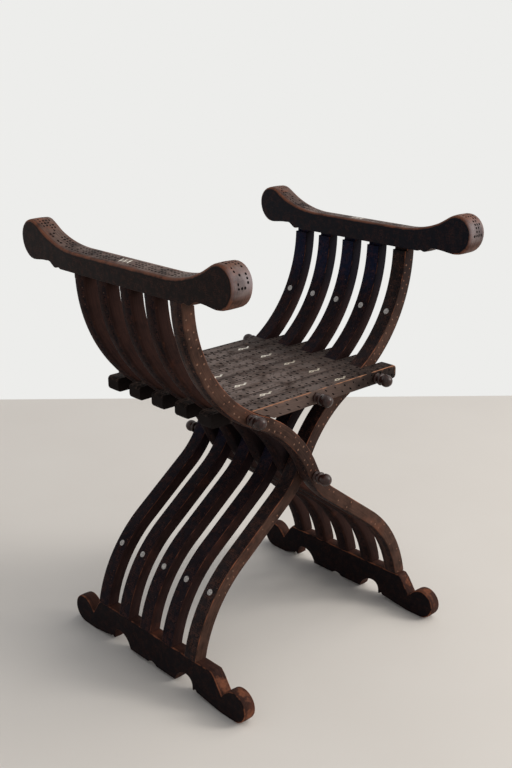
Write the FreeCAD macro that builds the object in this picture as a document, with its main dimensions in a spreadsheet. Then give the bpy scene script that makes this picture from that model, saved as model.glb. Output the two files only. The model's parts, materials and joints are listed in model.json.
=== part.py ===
"""Folding savonarola armchair: two crossed frames of five staves each, and ten seat planks hinged between them.

The origin lies on the floor under the crossing rod. +Z is up, the chair faces -Y and its left arm is at -X.
The ten layers of wood are counted from the front. The odd ones hold the staves of the left frame and the right
planks of the seat, the even ones the staves of the right frame and the left planks.
"""

import FreeCAD, Part
import os
import Sketcher
from FreeCAD import Placement, Rotation, Vector

SHEET = "dimensions"
LAYERS = 10
STAVES = 5

# Driving dimensions: name, value in millimetres or degrees, what it is
DIMENSIONS = [
    ("stave_thickness", 30.2, "along the depth of the chair"),
    ("stave_width", 27.0, "across the curve of a stave"),
    ("layer_gap", 1.2, "air between two neighbouring layers"),
    ("bowl_radius", 253.0, "centre line beside the sitter"),
    ("hump_radius", 233.0, "centre line under the seat"),
    ("waist_radius", 155.0, "centre line at the crossing"),
    ("ankle_radius", 247.0, "centre line above the foot"),
    ("shin_length", 132.0, "straight run below the crossing"),
    ("pivot_slope", 61.0, "slope of a stave at the crossing, degrees"),
    ("waist_upper_angle", 4.8, "degrees"),
    ("waist_lower_angle", 23.8, "degrees"),
    ("hump_angle", 41.7, "degrees"),
    ("ankle_angle", 41.6, "degrees"),
    ("hinge_slope", 31.6, "slope of a stave at its seat hinge, degrees"),
    ("neck_notch_depth", 6.0, "step of a stave below the arm"),
    ("neck_notch_height", 8.0, "height of that step"),
    ("tenon_width", 13.0, "across the chair"),
    ("tenon_thickness", 20.0, "along the depth of the chair"),
    ("tenon_length", 14.0, "into an arm or a foot"),
    ("glue_gap", 0.1, "round a tenon"),
    ("rod_radius", 4.5, "shaft of each of the four rods"),
    ("running_fit", 0.05, "round a shaft, on the radius"),
    ("swing_clearance", 1.0, "round the left hinge rod in its notch"),
    ("seat_rest_gap", 0.4, "between a plank's free end and the stave under it"),
    ("plank_rise", 12.9, "top of a plank above its hinge"),
    ("plank_drop", 12.5, "underside of a plank below its hinge"),
    ("plank_tail", 54.0, "length of a plank outside its hinge"),
    ("plank_corner", 6.0, "radius of the tail's corners"),
    ("notch_reach", 27.0, "travel of the left hinge rod in its notch"),
    ("notch_skin", 8.0, "wood left behind the blind notch of the last plank"),
    ("rod_end_air", 3.0, "between the left hinge rod's end and that wood"),
    ("arm_width", 40.0, "across the chair"),
    ("arm_inset", 4.5, "middle of an arm inwards of its staves"),
    ("arm_thickness", 33.0, "between the scrolls"),
    ("arm_reach_front", 275.0, "both arms"),
    ("left_arm_reach_back", 275.0, ""),
    ("right_arm_reach_back", 248.0, ""),
    ("scroll_radius", 32.0, "round end of an arm"),
    ("scroll_lift", 10.0, "underside of the scroll above the arm's own"),
    ("scroll_flat", 24.0, "flat belly behind the scroll's round end"),
    ("scroll_neck_slope", 31.0, "degrees"),
    ("saddle_radius", 182.0, "hollow in front of each scroll"),
    ("arm_land", 5.0, "flat between cove and bead notch"),
    ("arm_bead", 4.0, "radius of the bead notch"),
    ("arm_edge", 3.0, "rounding of the upper edges"),
    ("foot_width", 24.0, "across the chair"),
    ("foot_height", 68.0, "top of the shoulders"),
    ("foot_reach_front", 248.0, "both feet"),
    ("left_foot_reach_back", 238.0, ""),
    ("right_foot_reach_back", 215.0, ""),
    ("ball_radius", 27.5, "round end of a foot"),
    ("ball_neck_drop", 11.5, "straight fall from the ball to the neck"),
    ("shoulder_run", 17.0, "slant between neck and shoulder"),
    ("shoulder_round", 8.0, "radius on top of the slant"),
    ("runner_flat", 35.0, "part of the runner on the floor"),
    ("runner_lift", 8.0, "height of the runner's inner end"),
    ("foot_bead", 3.5, "radius of the bead notch"),
    ("arch_place", 97.0, "crown of an arch from the middle"),
    ("arch_radius", 16.0, "outer part of the arch"),
    ("arch_height", 31.0, "crown above the floor"),
    ("apron_half", 65.0, "half length of the middle apron"),
    ("apron_height", 5.0, "apron above the floor"),
    ("apron_notch_half", 12.0, "half width of the notch in the apron"),
    ("apron_notch_rise", 5.0, "its depth"),
    ("knob_collar_radius", 9.0, "disc next to the wood"),
    ("knob_collar_length", 4.0, ""),
    ("knob_neck_radius", 6.5, ""),
    ("knob_neck_length", 5.0, ""),
    ("knob_bead_radius", 10.5, "ring between neck and ball"),
    ("knob_bead_half", 3.0, "half its length"),
    ("knob_ball_radius", 12.0, ""),
    ("knob_gap", 0.3, "between a collar and the wood behind it"),
    ("knob_socket", 8.0, "depth of the rod's end in a back knob"),
    ("knob_peg", 5.0, "peg of the left back knob in its plank"),
    ("disc_radius", 5.5, "mother-of-pearl disc on a stave"),
    ("disc_thickness", 1.5, ""),
    ("upper_disc_slope", 61.0, "degrees along the bowl"),
    ("lower_disc_slope", 52.8, "degrees along the ankle"),
    ("lozenge_half_length", 9.0, "mother-of-pearl lozenge in a plank or an arm"),
    ("lozenge_half_width", 4.0, ""),
    ("lozenge_thickness", 1.2, ""),
    ("lozenge_place", 78.0, "from a plank's hinge"),
    ("cut_overrun", 5.0, "how far every cut runs past the surface"),
]

# Worked out in the sheet from the driving ones. The x and z values start at the crossing rod, for a left stave
DERIVED = [
    ("layer_pitch", "stave_thickness + layer_gap"),
    ("pack_half", f"({LAYERS} * layer_pitch - layer_gap) / 2"),
    ("half_width", "stave_width / 2"),
    ("slope_waist_top", "pivot_slope + waist_upper_angle"),
    ("slope_hump_top", "slope_waist_top - hump_angle"),
    ("slope_shin", "pivot_slope - waist_lower_angle"),
    ("slope_foot", "slope_shin + ankle_angle"),
    ("waist_x", "waist_radius * sin(pivot_slope)"),
    ("waist_z", "waist_radius * cos(pivot_slope)"),
    ("hump_x", "waist_x - (waist_radius + hump_radius) * sin(slope_waist_top)"),
    ("hump_z", "waist_z - (waist_radius + hump_radius) * cos(slope_waist_top)"),
    ("bowl_x", "hump_x + (hump_radius + bowl_radius) * sin(slope_hump_top)"),
    ("bowl_z", "hump_z + (hump_radius + bowl_radius) * cos(slope_hump_top)"),
    ("shin_top_x", "waist_x - waist_radius * sin(slope_shin)"),
    ("shin_top_z", "waist_z - waist_radius * cos(slope_shin)"),
    ("ankle_x", "shin_top_x + shin_length * cos(slope_shin) - ankle_radius * sin(slope_shin)"),
    ("ankle_z", "shin_top_z - shin_length * sin(slope_shin) - ankle_radius * cos(slope_shin)"),
    ("foot_x", "ankle_x + ankle_radius * sin(slope_foot)"),
    ("foot_z", "ankle_z + ankle_radius * cos(slope_foot)"),
    ("pivot_height", "foot_height - foot_z"),
    ("stave_top_x", "bowl_x - bowl_radius"),
    ("arm_x", "stave_top_x + arm_inset"),
    ("arm_height", "pivot_height + bowl_z"),
    ("hinge_x", "bowl_radius * sin(hinge_slope) - bowl_x"),
    ("hinge_z", "bowl_z - bowl_radius * cos(hinge_slope)"),
    ("hinge_height", "pivot_height + hinge_z"),
    ("rest_radius", "bowl_radius - half_width - seat_rest_gap"),
    ("rest_x", "bowl_x - hinge_x"),
    ("rest_z", "bowl_z - hinge_z"),
    ("hole_radius", "rod_radius + running_fit"),
    ("notch_half", "rod_radius + swing_clearance"),
    ("scroll_height", "scroll_lift + scroll_radius"),
    ("saddle_drop", "saddle_radius * (1 - cos(scroll_neck_slope))"),
    ("neck_fall", "scroll_height + scroll_radius * cos(scroll_neck_slope) - arm_thickness - saddle_drop"),
    ("neck_run", "neck_fall / tan(scroll_neck_slope)"),
    ("saddle_half", "scroll_radius * sin(scroll_neck_slope) + neck_run + saddle_radius * sin(scroll_neck_slope)"),
    ("ball_diagonal", "ball_radius * sin(45)"),
    ("neck_height", "ball_radius + ball_diagonal - ball_neck_drop"),
    ("arch_outer", "arch_place + arch_radius"),
    ("arch_fall", "arch_height - apron_height"),
    ("arch_inner_run", "arch_place - apron_half"),
    ("arch_inner_radius", "(arch_inner_run ^ 2 + arch_fall ^ 2) / (2 * arch_fall)"),
    ("apron_arc", "(apron_notch_half ^ 2 + apron_notch_rise ^ 2) / (2 * apron_notch_rise)"),
    ("knob_bead_core", "knob_bead_radius - knob_bead_half"),
    ("knob_bead_start", "knob_collar_length + knob_neck_length"),
    ("knob_bead_end", "knob_bead_start + 2 * knob_bead_half"),
    ("knob_ball_place", "knob_bead_end + sqrt(knob_ball_radius ^ 2 - knob_bead_core ^ 2)"),
]


def make_sheet(doc):
    """Writes the driving and the derived dimensions into the sheet."""
    sheet = doc.addObject("Spreadsheet::Sheet", SHEET)
    for row, (alias, value, note) in enumerate(DIMENSIONS, 1):
        sheet.set(f"A{row}", alias)
        sheet.set(f"B{row}", str(value))
        sheet.set(f"C{row}", note)
        sheet.setAlias(f"B{row}", alias)
    for row, (alias, formula) in enumerate(DERIVED, len(DIMENSIONS) + 2):
        sheet.set(f"A{row}", alias)
        sheet.set(f"B{row}", "=" + formula)
        sheet.setAlias(f"B{row}", alias)
    doc.recompute()
    return sheet


def named(formula):
    """The formula with every dimension's name led by the sheet's own."""
    words = sorted([row[0] for row in DIMENSIONS + DERIVED], key=len, reverse=True)
    out = []
    word = ""
    for sign in formula + " ":
        if sign.isalnum() or sign == "_":
            word += sign
            continue
        out.append(f"{SHEET}.{word}" if word in words else word)
        out.append(sign)
        word = ""
    return "".join(out).strip()


def value(sheet, formula):
    """The number that a formula of dimensions gives now."""
    return float(sheet.evalExpression(named(formula)))


def flipped(formula, side):
    """The formula as it is on the left side (1), or mirrored to the right side (-1)."""
    return formula if side > 0 else f"-({formula})"


class Outline:
    """A closed sketch outline whose corners and arc centres are formulas of the dimensions."""

    def __init__(self, sheet, sketch, start, side=1):
        self.sheet = sheet
        self.sketch = sketch
        self.side = side
        self.corners = [start]
        self.first = None
        self.last = None

    def point(self, corner):
        across, up = corner
        return Vector(value(self.sheet, flipped(across, self.side)), value(self.sheet, up), 0)

    def bind(self, geometry, position, kind, formula):
        if kind == "DistanceX":
            formula = flipped(formula, self.side)
        place = Sketcher.Constraint(kind, -1, 1, geometry, position, value(self.sheet, formula))
        index = self.sketch.addConstraint(place)
        self.sketch.setExpression(f"Constraints[{index}]", named(formula))

    def join(self, geometry, start, end):
        if self.last is None:
            self.first = (geometry, start)
            self.bind(geometry, start, "DistanceX", self.corners[0][0])
            self.bind(geometry, start, "DistanceY", self.corners[0][1])
        else:
            self.sketch.addConstraint(Sketcher.Constraint("Coincident", *self.last, geometry, start))
        self.last = (geometry, end)

    def line(self, across, up):
        """A straight edge to the corner."""
        here = self.point(self.corners[-1])
        there = self.point((across, up))
        geometry = self.sketch.addGeometry(Part.LineSegment(here, there), False)
        self.join(geometry, 1, 2)
        self.bind(geometry, 2, "DistanceX", across)
        self.bind(geometry, 2, "DistanceY", up)
        self.corners.append((across, up))

    def arc(self, centre, across, up, turn):
        """An arc about the centre to the corner, turning left (1) or right (-1) on the left side."""
        middle = self.point(centre)
        here = self.point(self.corners[-1]) - middle
        there = self.point((across, up)) - middle
        from_angle = Vector(1, 0, 0).getAngle(here) * (1 if here.y >= 0 else -1)
        to_angle = Vector(1, 0, 0).getAngle(there) * (1 if there.y >= 0 else -1)
        circle = Part.Circle(middle, Vector(0, 0, 1), here.Length)
        leftward = turn * self.side > 0
        limits = (from_angle, to_angle) if leftward else (to_angle, from_angle)
        geometry = self.sketch.addGeometry(Part.ArcOfCircle(circle, *limits), False)
        start, end = (1, 2) if leftward else (2, 1)
        self.join(geometry, start, end)
        self.bind(geometry, 3, "DistanceX", centre[0])
        self.bind(geometry, 3, "DistanceY", centre[1])
        steep = abs(there.x) > abs(there.y)
        self.bind(geometry, end, "DistanceY" if steep else "DistanceX", up if steep else across)
        self.corners.append((across, up))

    def close(self):
        """A straight edge back to the first corner."""
        here = self.point(self.corners[-1])
        there = self.point(self.corners[0])
        geometry = self.sketch.addGeometry(Part.LineSegment(here, there), False)
        self.sketch.addConstraint(Sketcher.Constraint("Coincident", *self.last, geometry, 1))
        self.sketch.addConstraint(Sketcher.Constraint("Coincident", geometry, 2, *self.first))


def new_body(doc, name, place):
    """An empty body whose Placement is bound to three formulas."""
    body = doc.addObject("PartDesign::Body", name)
    body.Label = name
    for axis, formula in zip("xyz", place):
        body.setExpression(f"Placement.Base.{axis}", named(formula))
    return body


def new_sketch(body, name, role, offset="0"):
    """A sketch on one of the body's own planes, moved along that plane's normal."""
    sketch = body.newObject("Sketcher::SketchObject", name)
    plane = [f for f in body.Origin.OriginFeatures if f.Role == role][0]
    sketch.AttachmentSupport = [(plane, "")]
    sketch.MapMode = "FlatFace"
    if offset != "0":
        sketch.setExpression("AttachmentOffset.Base.z", named(offset))
    return sketch


def circle(sheet, sketch, across, up, radius):
    """A full circle bound to formulas."""
    middle = Vector(value(sheet, across), value(sheet, up), 0)
    geometry = sketch.addGeometry(Part.Circle(middle, Vector(0, 0, 1), value(sheet, radius)), False)
    for kind, formula in (("DistanceX", across), ("DistanceY", up)):
        index = sketch.addConstraint(Sketcher.Constraint(kind, -1, 1, geometry, 3, value(sheet, formula)))
        sketch.setExpression(f"Constraints[{index}]", named(formula))
    index = sketch.addConstraint(Sketcher.Constraint("Radius", geometry, value(sheet, radius)))
    sketch.setExpression(f"Constraints[{index}]", named(radius))


def rectangle(sheet, sketch, left, right, low, high):
    """A rectangle between four formulas."""
    outline = Outline(sheet, sketch, (left, low))
    outline.line(right, low)
    outline.line(right, high)
    outline.line(left, high)
    outline.close()


def pad(body, sketch, name, length, midplane=False, reverse=False):
    """Wood added on a sketch."""
    feature = body.newObject("PartDesign::Pad", name)
    feature.Profile = sketch
    feature.setExpression("Length", named(length))
    feature.Midplane = midplane
    feature.Reversed = reverse
    return feature


def pocket(body, sketch, name, length, midplane=False, reverse=False):
    """Wood taken out on a sketch, which has to leave less than there was."""
    body.Document.recompute()
    before = body.Shape.Volume
    feature = body.newObject("PartDesign::Pocket", name)
    feature.Profile = sketch
    feature.setExpression("Length", named(length))
    feature.Midplane = midplane
    feature.Reversed = reverse
    body.Document.recompute()
    if body.Shape.Volume >= before:
        raise RuntimeError(f"{body.Label}: {name} cuts nothing")
    return feature


def layer_place(layer):
    """The middle of a layer along the depth, the first layer in front."""
    return f"({layer} - ({LAYERS} + 1) / 2) * layer_pitch"


def tenon(sheet, body, name, across, low, reverse):
    """A tenon on the end of a stave."""
    sketch = new_sketch(body, f"{name}_section", "XY_Plane", low)
    rectangle(
        sheet,
        sketch,
        f"{across} - tenon_width / 2",
        f"{across} + tenon_width / 2",
        "-tenon_thickness / 2",
        "tenon_thickness / 2",
    )
    pad(body, sketch, name, "tenon_length", reverse=reverse)


def recess(sheet, body, name, place, tilt, radius, depth):
    """A round recess whose axis is tilted in the plane of the stave."""
    cut = body.newObject("PartDesign::SubtractiveCylinder", name)
    plane = [f for f in body.Origin.OriginFeatures if f.Role == "XY_Plane"][0]
    cut.AttachmentSupport = [(plane, "")]
    cut.MapMode = "FlatFace"
    cut.AttachmentOffset = Placement(Vector(), Rotation(Vector(0, 1, 0), value(sheet, tilt)))
    cut.setExpression("AttachmentOffset.Base.x", named(place[0]))
    cut.setExpression("AttachmentOffset.Base.z", named(place[1]))
    cut.setExpression("AttachmentOffset.Rotation.Angle", named(tilt))
    cut.setExpression("Radius", named(radius))
    cut.setExpression("Height", named(depth))


def disc_seats(side):
    """Where the two discs of a stave start, and how they lean."""
    bowl = "(bowl_radius - half_width + disc_thickness)"
    ankle = "(ankle_radius + half_width - disc_thickness)"
    upper = (
        flipped(f"bowl_x - {bowl} * sin(upper_disc_slope)", side),
        f"bowl_z - {bowl} * cos(upper_disc_slope)",
    )
    lower = (
        flipped(f"ankle_x + {ankle} * sin(lower_disc_slope)", side),
        f"ankle_z + {ankle} * cos(lower_disc_slope)",
    )
    return {
        "upper": (upper, flipped("upper_disc_slope", side)),
        "lower": (lower, flipped("lower_disc_slope", side)),
    }


def stave(doc, sheet, name, layer, side):
    """An S-shaped stave from an arm down through the crossing to the foot on the other side."""
    body = new_body(doc, name, ("0", layer_place(layer), "pivot_height"))
    sketch = new_sketch(body, f"{name}_curve", "XZ_Plane")
    inner = "(bowl_radius - half_width)"
    outer = "(bowl_radius + half_width)"
    neck_z = "bowl_z - neck_notch_height"
    neck_x = f"bowl_x - sqrt({inner} ^ 2 - neck_notch_height ^ 2)"
    notch_x = f"bowl_x - {inner} - neck_notch_depth"
    edge = Outline(sheet, sketch, (notch_x, "bowl_z"), side)
    edge.line(notch_x, neck_z)
    edge.line(neck_x, neck_z)
    slopes = ("slope_hump_top", "slope_waist_top", "slope_shin")
    centres = ("bowl", "hump", "waist")
    radii = (inner, "(hump_radius + half_width)", "(waist_radius - half_width)")
    signs = ("-", "+", "-")
    for centre, radius, sign, slope, turn in zip(centres, radii, signs, slopes, (1, -1, 1)):
        edge.arc(
            (f"{centre}_x", f"{centre}_z"),
            f"{centre}_x {sign} {radius} * sin({slope})",
            f"{centre}_z {sign} {radius} * cos({slope})",
            turn,
        )
    upper = "(ankle_radius + half_width)"
    lower = "(ankle_radius - half_width)"
    edge.line(f"ankle_x + {upper} * sin(slope_shin)", f"ankle_z + {upper} * cos(slope_shin)")
    ankle = ("ankle_x", "ankle_z")
    drop = "(foot_z - ankle_z)"
    edge.arc(ankle, f"ankle_x + sqrt({upper} ^ 2 - {drop} ^ 2)", "foot_z", -1)
    edge.line(f"ankle_x + sqrt({lower} ^ 2 - {drop} ^ 2)", "foot_z")
    edge.arc(ankle, f"ankle_x + {lower} * sin(slope_shin)", f"ankle_z + {lower} * cos(slope_shin)", 1)
    far = "(waist_radius + half_width)"
    edge.line(f"waist_x - {far} * sin(slope_shin)", f"waist_z - {far} * cos(slope_shin)")
    edge.arc(
        ("waist_x", "waist_z"),
        f"waist_x - {far} * sin(slope_waist_top)",
        f"waist_z - {far} * cos(slope_waist_top)",
        -1,
    )
    near = "(hump_radius - half_width)"
    edge.arc(
        ("hump_x", "hump_z"),
        f"hump_x + {near} * sin(slope_hump_top)",
        f"hump_z + {near} * cos(slope_hump_top)",
        1,
    )
    edge.arc(("bowl_x", "bowl_z"), f"bowl_x - {outer}", "bowl_z", -1)
    edge.close()
    pad(body, sketch, "stave", "stave_thickness", midplane=True)
    tenon(sheet, body, "upper_tenon", flipped("stave_top_x", side), "bowl_z", False)
    tenon(sheet, body, "lower_tenon", flipped("foot_x", side), "foot_z", True)
    holes = new_sketch(body, "rod_holes", "XZ_Plane")
    circle(sheet, holes, "0", "0", "hole_radius")
    circle(sheet, holes, flipped("-hinge_x", side), "hinge_z", "hole_radius")
    pocket(body, holes, "bores", "stave_thickness + cut_overrun", midplane=True)
    for which, (place, tilt) in disc_seats(side).items():
        recess(sheet, body, f"{which}_recess", place, tilt, "disc_radius", "disc_thickness + cut_overrun")
    return body


def disc_group(doc, sheet, name, layers, side, which):
    """The mother-of-pearl discs of one frame's staves, one on each."""
    place, tilt = disc_seats(side)[which]
    discs = []
    for layer in layers:
        disc = doc.addObject("Part::Cylinder", f"{name}_{layer}")
        disc.setExpression("Radius", named("disc_radius"))
        disc.setExpression("Height", named("disc_thickness"))
        disc.Placement = Placement(Vector(), Rotation(Vector(0, 1, 0), value(sheet, tilt)))
        disc.setExpression("Placement.Base.x", named(place[0]))
        disc.setExpression("Placement.Base.y", named(layer_place(layer)))
        disc.setExpression("Placement.Base.z", named(f"pivot_height + {place[1]}"))
        disc.setExpression("Placement.Rotation.Angle", named(tilt))
        discs.append(disc)
    group = doc.addObject("Part::Compound", name)
    group.Label = name
    group.Links = discs
    return group


def lozenge(sheet, sketch, across, up, half_across, half_up):
    """A lozenge about a point."""
    outline = Outline(sheet, sketch, (f"{across} - {half_across}", up))
    outline.line(across, f"{up} - {half_up}")
    outline.line(f"{across} + {half_across}", up)
    outline.line(across, f"{up} + {half_up}")
    outline.close()


def plank(doc, sheet, name, layer, side):
    """A seat plank, hinged at its tail end, whose free end rests in the bowl of a stave in its own layer."""
    body = new_body(doc, name, (flipped("hinge_x", side), layer_place(layer), "hinge_height"))
    sketch = new_sketch(body, f"{name}_side", "XZ_Plane")
    seat = ("rest_x", "rest_z")
    top_x = "rest_x - sqrt(rest_radius ^ 2 - (rest_z - plank_rise) ^ 2)"
    turn_x = "rest_x - rest_radius * sin(slope_hump_top)"
    turn_z = "rest_z - rest_radius * cos(slope_hump_top)"
    low_x = f"{turn_x} + ({turn_z} + plank_drop) / tan(slope_hump_top)"
    edge = Outline(sheet, sketch, (top_x, "plank_rise"), side)
    edge.arc(seat, turn_x, turn_z, 1)
    edge.line(low_x, "-plank_drop")
    edge.line("plank_tail - plank_corner", "-plank_drop")
    edge.arc(("plank_tail - plank_corner", "plank_corner - plank_drop"), "plank_tail", "plank_corner - plank_drop", 1)
    edge.line("plank_tail", "plank_rise - plank_corner")
    edge.arc(("plank_tail - plank_corner", "plank_rise - plank_corner"), "plank_tail - plank_corner", "plank_rise", 1)
    edge.close()
    pad(body, sketch, "plank", "stave_thickness", midplane=True)
    holes = new_sketch(body, "rod_holes", "XZ_Plane")
    circle(sheet, holes, flipped("-hinge_x", side), "0", "hole_radius")
    if side > 0:
        circle(sheet, holes, "0", "0", "hole_radius")
    pocket(body, holes, "bores", "stave_thickness + cut_overrun", midplane=True)
    if side < 0:
        hinge_notch(sheet, body, layer)
    inlay = new_sketch(body, "inlay_recess", "XY_Plane", "plank_rise - lozenge_thickness")
    place = flipped("-lozenge_place", side)
    lozenge(sheet, inlay, place, "0", "lozenge_half_length", "lozenge_half_width")
    pocket(body, inlay, "inlay_seat", "lozenge_thickness + cut_overrun", reverse=True)
    return body


def hinge_notch(sheet, body, layer):
    """The notch in which the left hinge rod travels while the chair folds, blind in the last plank."""
    blind = layer == LAYERS
    notch = new_sketch(body, "swing_notch", "XZ_Plane", "notch_skin - stave_thickness / 2" if blind else "0")
    edge = Outline(sheet, notch, ("-notch_half", "-plank_drop - cut_overrun"))
    edge.line("notch_reach + notch_half", "-plank_drop - cut_overrun")
    edge.line("notch_reach + notch_half", "0")
    edge.arc(("notch_reach", "0"), "notch_reach", "notch_half", 1)
    edge.line("0", "notch_half")
    edge.arc(("0", "0"), "-notch_half", "0", 1)
    edge.close()
    if not blind:
        pocket(body, notch, "notch", "stave_thickness + cut_overrun", midplane=True)
        return
    pocket(body, notch, "notch", "stave_thickness", reverse=True)
    peg = new_sketch(body, "peg_hole", "XZ_Plane", "-stave_thickness / 2 - cut_overrun")
    circle(sheet, peg, "0", "0", "hole_radius")
    pocket(body, peg, "peg_bore", "cut_overrun + knob_peg", reverse=True)


def inlay_group(doc, sheet, name, places):
    """Mother-of-pearl lozenges that lie flush in the wood, given by place and by the way they point."""
    pieces = []
    for number, (place, along) in enumerate(places, 1):
        piece = new_body(doc, f"{name}_{number}", place)
        sketch = new_sketch(piece, f"{name}_{number}_outline", "XY_Plane")
        halves = ("lozenge_half_length", "lozenge_half_width")
        if along == "y":
            halves = halves[::-1]
        lozenge(sheet, sketch, "0", "0", *halves)
        pad(piece, sketch, "lozenge", "lozenge_thickness", reverse=True)
        pieces.append(piece)
    if len(pieces) == 1:
        pieces[0].Label = name
        return pieces[0]
    group = doc.addObject("Part::Compound", name)
    group.Label = name
    group.Links = pieces
    return group


def mortises(sheet, body, name, layers, across, height, reverse):
    """The mortises of a rail, one for each stave tenon."""
    sketch = new_sketch(body, name, "XY_Plane", height)
    for layer in layers:
        middle = layer_place(layer)
        rectangle(
            sheet,
            sketch,
            f"{across} - tenon_width / 2 - glue_gap",
            f"{across} + tenon_width / 2 + glue_gap",
            f"{middle} - tenon_thickness / 2 - glue_gap",
            f"{middle} + tenon_thickness / 2 + glue_gap",
        )
    pocket(body, sketch, f"{name}_cut", "tenon_length + glue_gap + cut_overrun", reverse=reverse)


def arm_end(edge, reach, way):
    """One scroll of an arm, from the flat underside round to the saddle or the other way round."""
    sign = "-" if way < 0 else ""
    minus = "+" if way < 0 else "-"
    middle = f"{sign}{reach} {minus} scroll_radius"
    belly = f"{middle} {minus} scroll_flat"
    cove = f"{belly} {minus} scroll_lift"
    bead = f"{cove} {minus} arm_land {minus} arm_bead"
    nose = (middle, "scroll_height")
    slope_x = f"{middle} {minus} scroll_radius * sin(scroll_neck_slope)"
    slope_z = "scroll_height + scroll_radius * cos(scroll_neck_slope)"
    saddle_x = f"{middle} {minus} saddle_half"
    start_x = f"{saddle_x} {'-' if way < 0 else '+'} saddle_radius * sin(scroll_neck_slope)"
    start_z = "arm_thickness + saddle_drop"
    saddle = (saddle_x, "arm_thickness + saddle_radius")
    if way > 0:
        edge.line(f"{bead} - arm_bead", "0")
        edge.arc((bead, "0"), f"{bead} + arm_bead", "0", -1)
        edge.line(cove, "0")
        edge.arc((belly, "0"), belly, "scroll_lift", -1)
        edge.line(middle, "scroll_lift")
        edge.arc(nose, slope_x, slope_z, 1)
        edge.line(start_x, start_z)
        edge.arc(saddle, saddle_x, "arm_thickness", -1)
        return
    edge.line(saddle_x, "arm_thickness")
    edge.arc(saddle, start_x, start_z, -1)
    edge.line(slope_x, slope_z)
    edge.arc(nose, middle, "scroll_lift", 1)
    edge.line(belly, "scroll_lift")
    edge.arc((belly, "0"), cove, "0", -1)
    edge.line(f"{bead} - arm_bead", "0")
    edge.arc((bead, "0"), f"{bead} + arm_bead", "0", -1)


def arm(doc, sheet, name, side, reach_back, layers):
    """An arm rail, hollowed like a saddle between its two scrolls."""
    body = new_body(doc, name, (flipped("arm_x", side), "0", "arm_height"))
    sketch = new_sketch(body, f"{name}_side", "YZ_Plane")
    edge = Outline(sheet, sketch, ("0", "0"))
    arm_end(edge, reach_back, 1)
    arm_end(edge, "arm_reach_front", -1)
    edge.close()
    pad(body, sketch, "rail", "arm_width", midplane=True)
    mortises(sheet, body, "mortises", layers, flipped("-arm_inset", side), "-cut_overrun", True)
    seat = new_sketch(body, "inlay_recess", "XY_Plane", "arm_thickness - lozenge_thickness")
    lozenge(sheet, seat, "0", "0", "lozenge_half_width", "lozenge_half_length")
    pocket(body, seat, "inlay_seat", "lozenge_thickness + cut_overrun", reverse=True)
    ease_upper_edges(sheet, body)
    return body


def ease_upper_edges(sheet, body):
    """Rounds the long edges of an arm above its underside."""
    doc = body.Document
    doc.recompute()
    base = body.Tip
    half = value(sheet, "arm_width / 2")
    low = value(sheet, "scroll_lift / 2")
    near = Part.Precision.approximation()
    picked = []
    for number, edge in enumerate(base.Shape.Edges, 1):
        sides = [vertex.X / half for vertex in edge.Vertexes]
        along = max(sides) - min(sides) < near and abs(abs(sides[0]) - 1) < near
        if along and edge.BoundBox.ZMin > low:
            picked.append(f"Edge{number}")
    rounding = body.newObject("PartDesign::Fillet", "eased_edges")
    rounding.Base = (base, picked)
    rounding.setExpression("Radius", named("arm_edge"))
    doc.recompute()


def foot_end(edge, reach, way):
    """One end of a foot: arch, bead, runner, ball, neck and shoulder, or the same the other way round."""
    sign = "-" if way < 0 else ""
    more = "-" if way < 0 else "+"
    less = "+" if way < 0 else "-"
    middle = f"{sign}{reach} {less} ball_radius"
    floor = f"{middle} {less} runner_flat"
    outer = f"{sign}arch_outer"
    bead = f"{outer} {more} 2 * foot_bead"
    crown = f"{sign}arch_place"
    apron = f"{sign}apron_half"
    diagonal = f"{middle} {less} ball_diagonal"
    neck = f"{diagonal} {less} ball_neck_drop"
    shoulder = f"{neck} {less} shoulder_run"
    top = f"{shoulder} {less} shoulder_round"
    inner_centre = (crown, "arch_height - arch_inner_radius")
    outer_centre = (crown, "arch_height - arch_radius")
    if way > 0:
        edge.line(apron, "apron_height")
        edge.arc(inner_centre, crown, "arch_height", -1)
        edge.arc(outer_centre, outer, "arch_height - arch_radius", -1)
        edge.line(outer, "runner_lift")
        edge.line(f"{bead} - foot_bead", "runner_lift")
        edge.arc((bead, "runner_lift"), f"{bead} + foot_bead", "runner_lift", -1)
        edge.line(floor, "0")
        edge.line(middle, "0")
        edge.arc((middle, "ball_radius"), diagonal, "ball_radius + ball_diagonal", 1)
        edge.line(neck, "neck_height")
        edge.line(shoulder, "foot_height - shoulder_round")
        edge.line(top, "foot_height")
        return
    edge.line(top, "foot_height")
    edge.line(shoulder, "foot_height - shoulder_round")
    edge.line(neck, "neck_height")
    edge.line(diagonal, "ball_radius + ball_diagonal")
    edge.arc((middle, "ball_radius"), middle, "0", 1)
    edge.line(floor, "0")
    edge.line(f"{bead} - foot_bead", "runner_lift")
    edge.arc((bead, "runner_lift"), f"{bead} + foot_bead", "runner_lift", -1)
    edge.line(outer, "runner_lift")
    edge.line(outer, "arch_height - arch_radius")
    edge.arc(outer_centre, crown, "arch_height", -1)
    edge.arc(inner_centre, apron, "apron_height", -1)


def foot(doc, sheet, name, side, reach_back, layers):
    """A runner foot with ball ends, stepped shoulders, two arches and a notched apron."""
    body = new_body(doc, name, (flipped("foot_x", side), "0", "0"))
    sketch = new_sketch(body, f"{name}_side", "YZ_Plane")
    edge = Outline(sheet, sketch, ("apron_notch_half", "apron_height"))
    foot_end(edge, reach_back, 1)
    foot_end(edge, "foot_reach_front", -1)
    edge.line("-apron_notch_half", "apron_height")
    edge.arc(("0", "apron_height + apron_notch_rise - apron_arc"), "0", "apron_height + apron_notch_rise", -1)
    edge.close()
    pad(body, sketch, "runner", "foot_width", midplane=True)
    mortises(sheet, body, "mortises", layers, "0", "foot_height + cut_overrun", False)
    return body


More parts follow.
